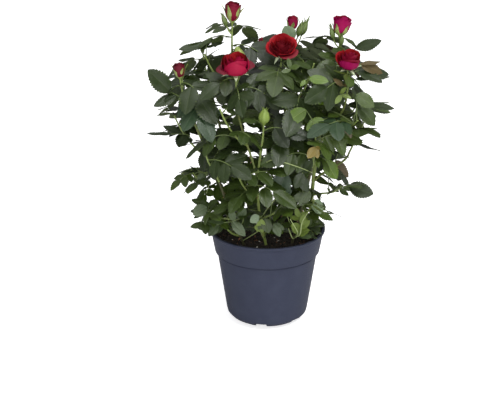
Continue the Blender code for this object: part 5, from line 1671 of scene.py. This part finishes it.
def makePot():
    turns = potTurns
    rim, height = turns["rim"][0], turns["height"]
    shoulder, band = potForm["shoulder"], potForm["band"]
    outer = [*potForm["foot"], *potForm["groove"], shoulder, band, turns["bandTop"], turns["rim"],
             (rim, height), (rim - turns["lip"], height)]
    further, higher = potForm["insideShoulder"]
    within = (turns["bandTop"], (band[0], band[1] + potForm["insideBand"]),
              (shoulder[0] + further, shoulder[1] + higher), turns["corner"])
    inner = [(radius - turns["wall"], level) for radius, level in within]
    profile = roundedProfile([*outer, *inner, *potForm["floor"]], potForm["round"])
    vertices, faces = turnedShape(profile, potForm["sides"])
    work = bmesh.new()
    made = [work.verts.new(vertex) for vertex in vertices]
    for face in faces:
        work.faces.new([made[corner] for corner in face])
    bmesh.ops.recalc_face_normals(work, faces=work.faces)
    mesh = bpy.data.meshes.new("pot_shell")
    work.to_mesh(mesh)
    work.free()
    mesh.polygons.foreach_set("use_smooth", np.ones(len(mesh.polygons), bool))
    for name in ("potPlastic", "potInsideShade"):
        mesh.materials.append(materials[name])
    piece = bpy.data.objects.new("pot_shell", mesh)
    bpy.context.scene.collection.objects.link(piece)
    for count in range(potForm["notches"]):
        angle = 2 * math.pi * (count + 0.5) / potForm["notches"] + math.radians(potForm["notchTurn"])
        notch = bmesh.new()
        place = Matrix.Rotation(angle, 4, "Z") @ Matrix.Translation((turns["foot"][0], 0, 0))
        bmesh.ops.create_cube(notch, size=1, matrix=place @ Matrix.Diagonal(
            (2 * potForm["notchDepth"], 2 * potForm["notchHalf"], 2 * potForm["notchHeight"], 1)))
        notchMesh = bpy.data.meshes.new("notch")
        notch.to_mesh(notchMesh)
        notch.free()
        cutter = bpy.data.objects.new("notch", notchMesh)
        bpy.context.scene.collection.objects.link(cutter)
        cut = piece.modifiers.new("notch", "BOOLEAN")
        cut.operation = "DIFFERENCE"
        cut.object = cutter
        graph = bpy.context.evaluated_depsgraph_get()
        piece.data = bpy.data.meshes.new_from_object(piece.evaluated_get(graph))
        piece.modifiers.clear()
        bpy.data.objects.remove(cutter)
    mesh = piece.data
    inside = rim - turns["lip"]
    # faces of the inner wall above the floor take the second finish, whose darker colour is painted shade
    for face in mesh.polygons:
        middle = face.center
        out = Vector((middle.x, middle.y))
        if out.length < inside and face.normal.xy.dot(out) < 0 and middle.z > 0.006:
            face.material_index = 1
    mesh.set_sharp_from_angle(angle=math.radians(32))
    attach(piece, "root")
    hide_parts("pot")
    print("pot turned:", len(mesh.polygons), "faces")


makePot()

soilForm = {
    "radius": 0.0795,
    "sink": 0.0008,                  # how far its middle level lies under the plant's feet
    "edge": (0.86, 0.14, 0.0030),    # where it begins to fall to the wall, over how much, and how far
    "rings": 60,
    "spokes": 160,
    "waves": ((28, 0.0011), (70, 0.0008), (170, 0.0005), (420, 0.00025)),   # cycles a metre and height
    "wall": ((0.111, 0.0750), (0.1045, 0.0710), (0.016, 0.0555), (0.0120, 0.0535)),   # height and radius
    "lift": 0.35,                    # how far a lump stands out, by its size
}
# Lumps: count, sizes in metres, shares in x, y and z, roughness of the shape, material and seed
lumps = {
    "peat_crumbs": (1500, (0.0007, 0.0024), (1, 0.8, 0.7), 0.3, "peatCrumb", 5),
    "bark_chips": (150, (0.0016, 0.0042), (1, 0.42, 0.22), 0.15, "barkChip", 6),
    "perlite_grains": (30, (0.0009, 0.0024), (1, 0.9, 0.85), 0.25, "perlite", 7),
}


def soilHeight(x, y):
    height = np.full_like(x, growth["soilTop"] - soilForm["sink"])
    rng = np.random.default_rng(12)
    for cycles, depth in soilForm["waves"]:
        for _ in range(5):
            angle, phase = rng.uniform(0, 2 * math.pi, 2)
            scale = cycles * rng.uniform(0.7, 1.4) * 2 * math.pi
            along = x * math.cos(angle) + y * math.sin(angle)
            height = height + depth * 0.5 * np.sin(along * scale + phase)
    away = np.hypot(x, y) / soilForm["radius"]
    begin, over, fall = soilForm["edge"]
    return height - fall * np.clip((away - begin) / over, 0, 1) ** 1.5


def makeSoil():
    pile = Pile()
    rings, spokes = soilForm["rings"], soilForm["spokes"]
    radius = soilForm["radius"] * np.linspace(0.004, 1, rings)[:, None]
    angle = np.linspace(0, 2 * math.pi, spokes, endpoint=False)[None, :]
    x = radius * np.cos(angle)
    y = radius * np.sin(angle)
    top = np.stack([x, y, soilHeight(x, y)], -1)
    wall = []
    for level, out in soilForm["wall"]:
        wall.append(np.stack([out * np.cos(angle), out * np.sin(angle), np.full_like(angle, level)], -1))
    grid = np.concatenate([top] + wall, 0)
    centres = np.array([[0, 0, soilHeight(np.zeros(1), np.zeros(1))[0]], [0, 0, soilForm["wall"][-1][0]]])
    faces = gridFaces(len(grid), spokes, closed=True)[:, ::-1]
    pile.add(np.vstack([grid.reshape(-1, 3), centres]), faces, 0)
    closeEnds(pile, len(grid), spokes, 0, turned=True)
    makePiece("compost", pile, [materials["peatCompost"]], ["soil"])


def chunk(rng, size, flat, rough):                   # one rough lump from an icosahedron
    work = bmesh.new()
    bmesh.ops.create_icosphere(work, subdivisions=1, radius=1)
    angle = rng.uniform(0, 6.28)
    turn = Matrix.Rotation(angle, 3, Vector([rng.gauss(0, 1) for _ in range(3)]))
    points = []
    for vertex in work.verts:
        point = vertex.co * rng.uniform(1 - rough, 1 + rough)
        point = turn @ Vector((point.x * flat[0], point.y * flat[1], point.z * flat[2]))
        points.append(point * size)
    faces = [[vertex.index for vertex in face.verts] for face in work.faces]
    work.free()
    return points, faces


def scatterOnSoil(name, count, sizes, flat, rough, material, seed):
    rng = random.Random(seed)
    pile = Pile()
    for _ in range(count):
        away = (soilForm["radius"] - 0.002) * math.sqrt(rng.random())
        angle = rng.uniform(0, 2 * math.pi)
        x, y = away * math.cos(angle), away * math.sin(angle)
        size = rng.uniform(*sizes) * rng.uniform(0.6, 1)
        points, faces = chunk(rng, size, flat, rough)
        height = float(soilHeight(np.array([x]), np.array([y]))[0])
        place = Vector((x, y, height + size * soilForm["lift"] * flat[1]))
        pile.add([tuple(point + place) for point in points], faces, 0)
    makePiece(name, pile, [materials[material]], [])


makeSoil()
for name, values in lumps.items():
    scatterOnSoil(name, *values)


# Floor, light and the end

studio = {
    "floorRadius": 14.0,
    "floorLevel": -0.0005,
    "aim": (0, 0, 0.22),             # where the lamps point
    "floor": (228, 228, 230),
    "floorGlow": 0.70,               # seen straight by the camera only, so that the floor stays white
    "sky": (0.10, 0.62),             # strength at the horizon and overhead
    "key": (1.2, -1.5, 3.0, 1.6, 80),          # x, y, z, size in metres, watts
    "front": (-0.15, -3.2, 1.5, 1.6, 36),
    "top": (0.0, 0.4, 3.0, 2.4, 25),
    "low": (0.4, -2.8, 0.45, 1.4, 18),
}


def makeFloor():
    work = bmesh.new()
    bmesh.ops.create_circle(work, cap_ends=True, segments=96, radius=studio["floorRadius"])
    mesh = bpy.data.meshes.new("floor")
    work.to_mesh(mesh)
    work.free()
    floor = bpy.data.objects.new("floor", mesh)
    floor.location.z = studio["floorLevel"]
    bpy.context.scene.collection.objects.link(floor)
    pale = finish("paleFloor", studio["floor"], (3, 0.75, 0.85), (300, 40, 0.6, 0.00005))
    shader = pale.node_tree.nodes["Principled BSDF"]
    shader.inputs["Emission Color"].default_value = (1, 1, 1, 1)
    seen = addNode(pale.node_tree, "LightPath").outputs["Is Camera Ray"]
    glow = addNode(pale.node_tree, "Math", {1: studio["floorGlow"]}, {0: seen}, operation="MULTIPLY")
    pale.node_tree.links.new(glow.outputs[0], shader.inputs["Emission Strength"])
    mesh.materials.append(pale)


def makeLight(name, x, y, z, size, watts):
    data = bpy.data.lights.new(name, "AREA")
    data.shape = "DISK"
    data.size = size
    data.energy = watts
    light = bpy.data.objects.new(name, data)
    light.location = (x, y, z)
    aimAt(light, studio["aim"])
    bpy.context.scene.collection.objects.link(light)


def makeStudio():
    makeFloor()
    for name in ("key", "front", "top", "low"):
        makeLight(name, *studio[name])
    world = bpy.data.worlds.new("studio")
    world.use_nodes = True
    background = world.node_tree.nodes["Background"]
    background.inputs["Color"].default_value = (1, 1, 1, 1)
    direction = addNode(world.node_tree, "TexCoord").outputs["Generated"]
    height = addNode(world.node_tree, "SeparateXYZ", links={"Vector": direction}).outputs["Z"]
    low, high = studio["sky"]
    strength = addNode(world.node_tree, "MapRange", {"To Min": low, "To Max": high}, {"Value": height})
    world.node_tree.links.new(strength.outputs["Result"], background.inputs["Strength"])
    bpy.context.scene.world = world
    bpy.context.scene.view_settings.view_transform = "Standard"
    print("floor, lights and sky placed")


makeStudio()
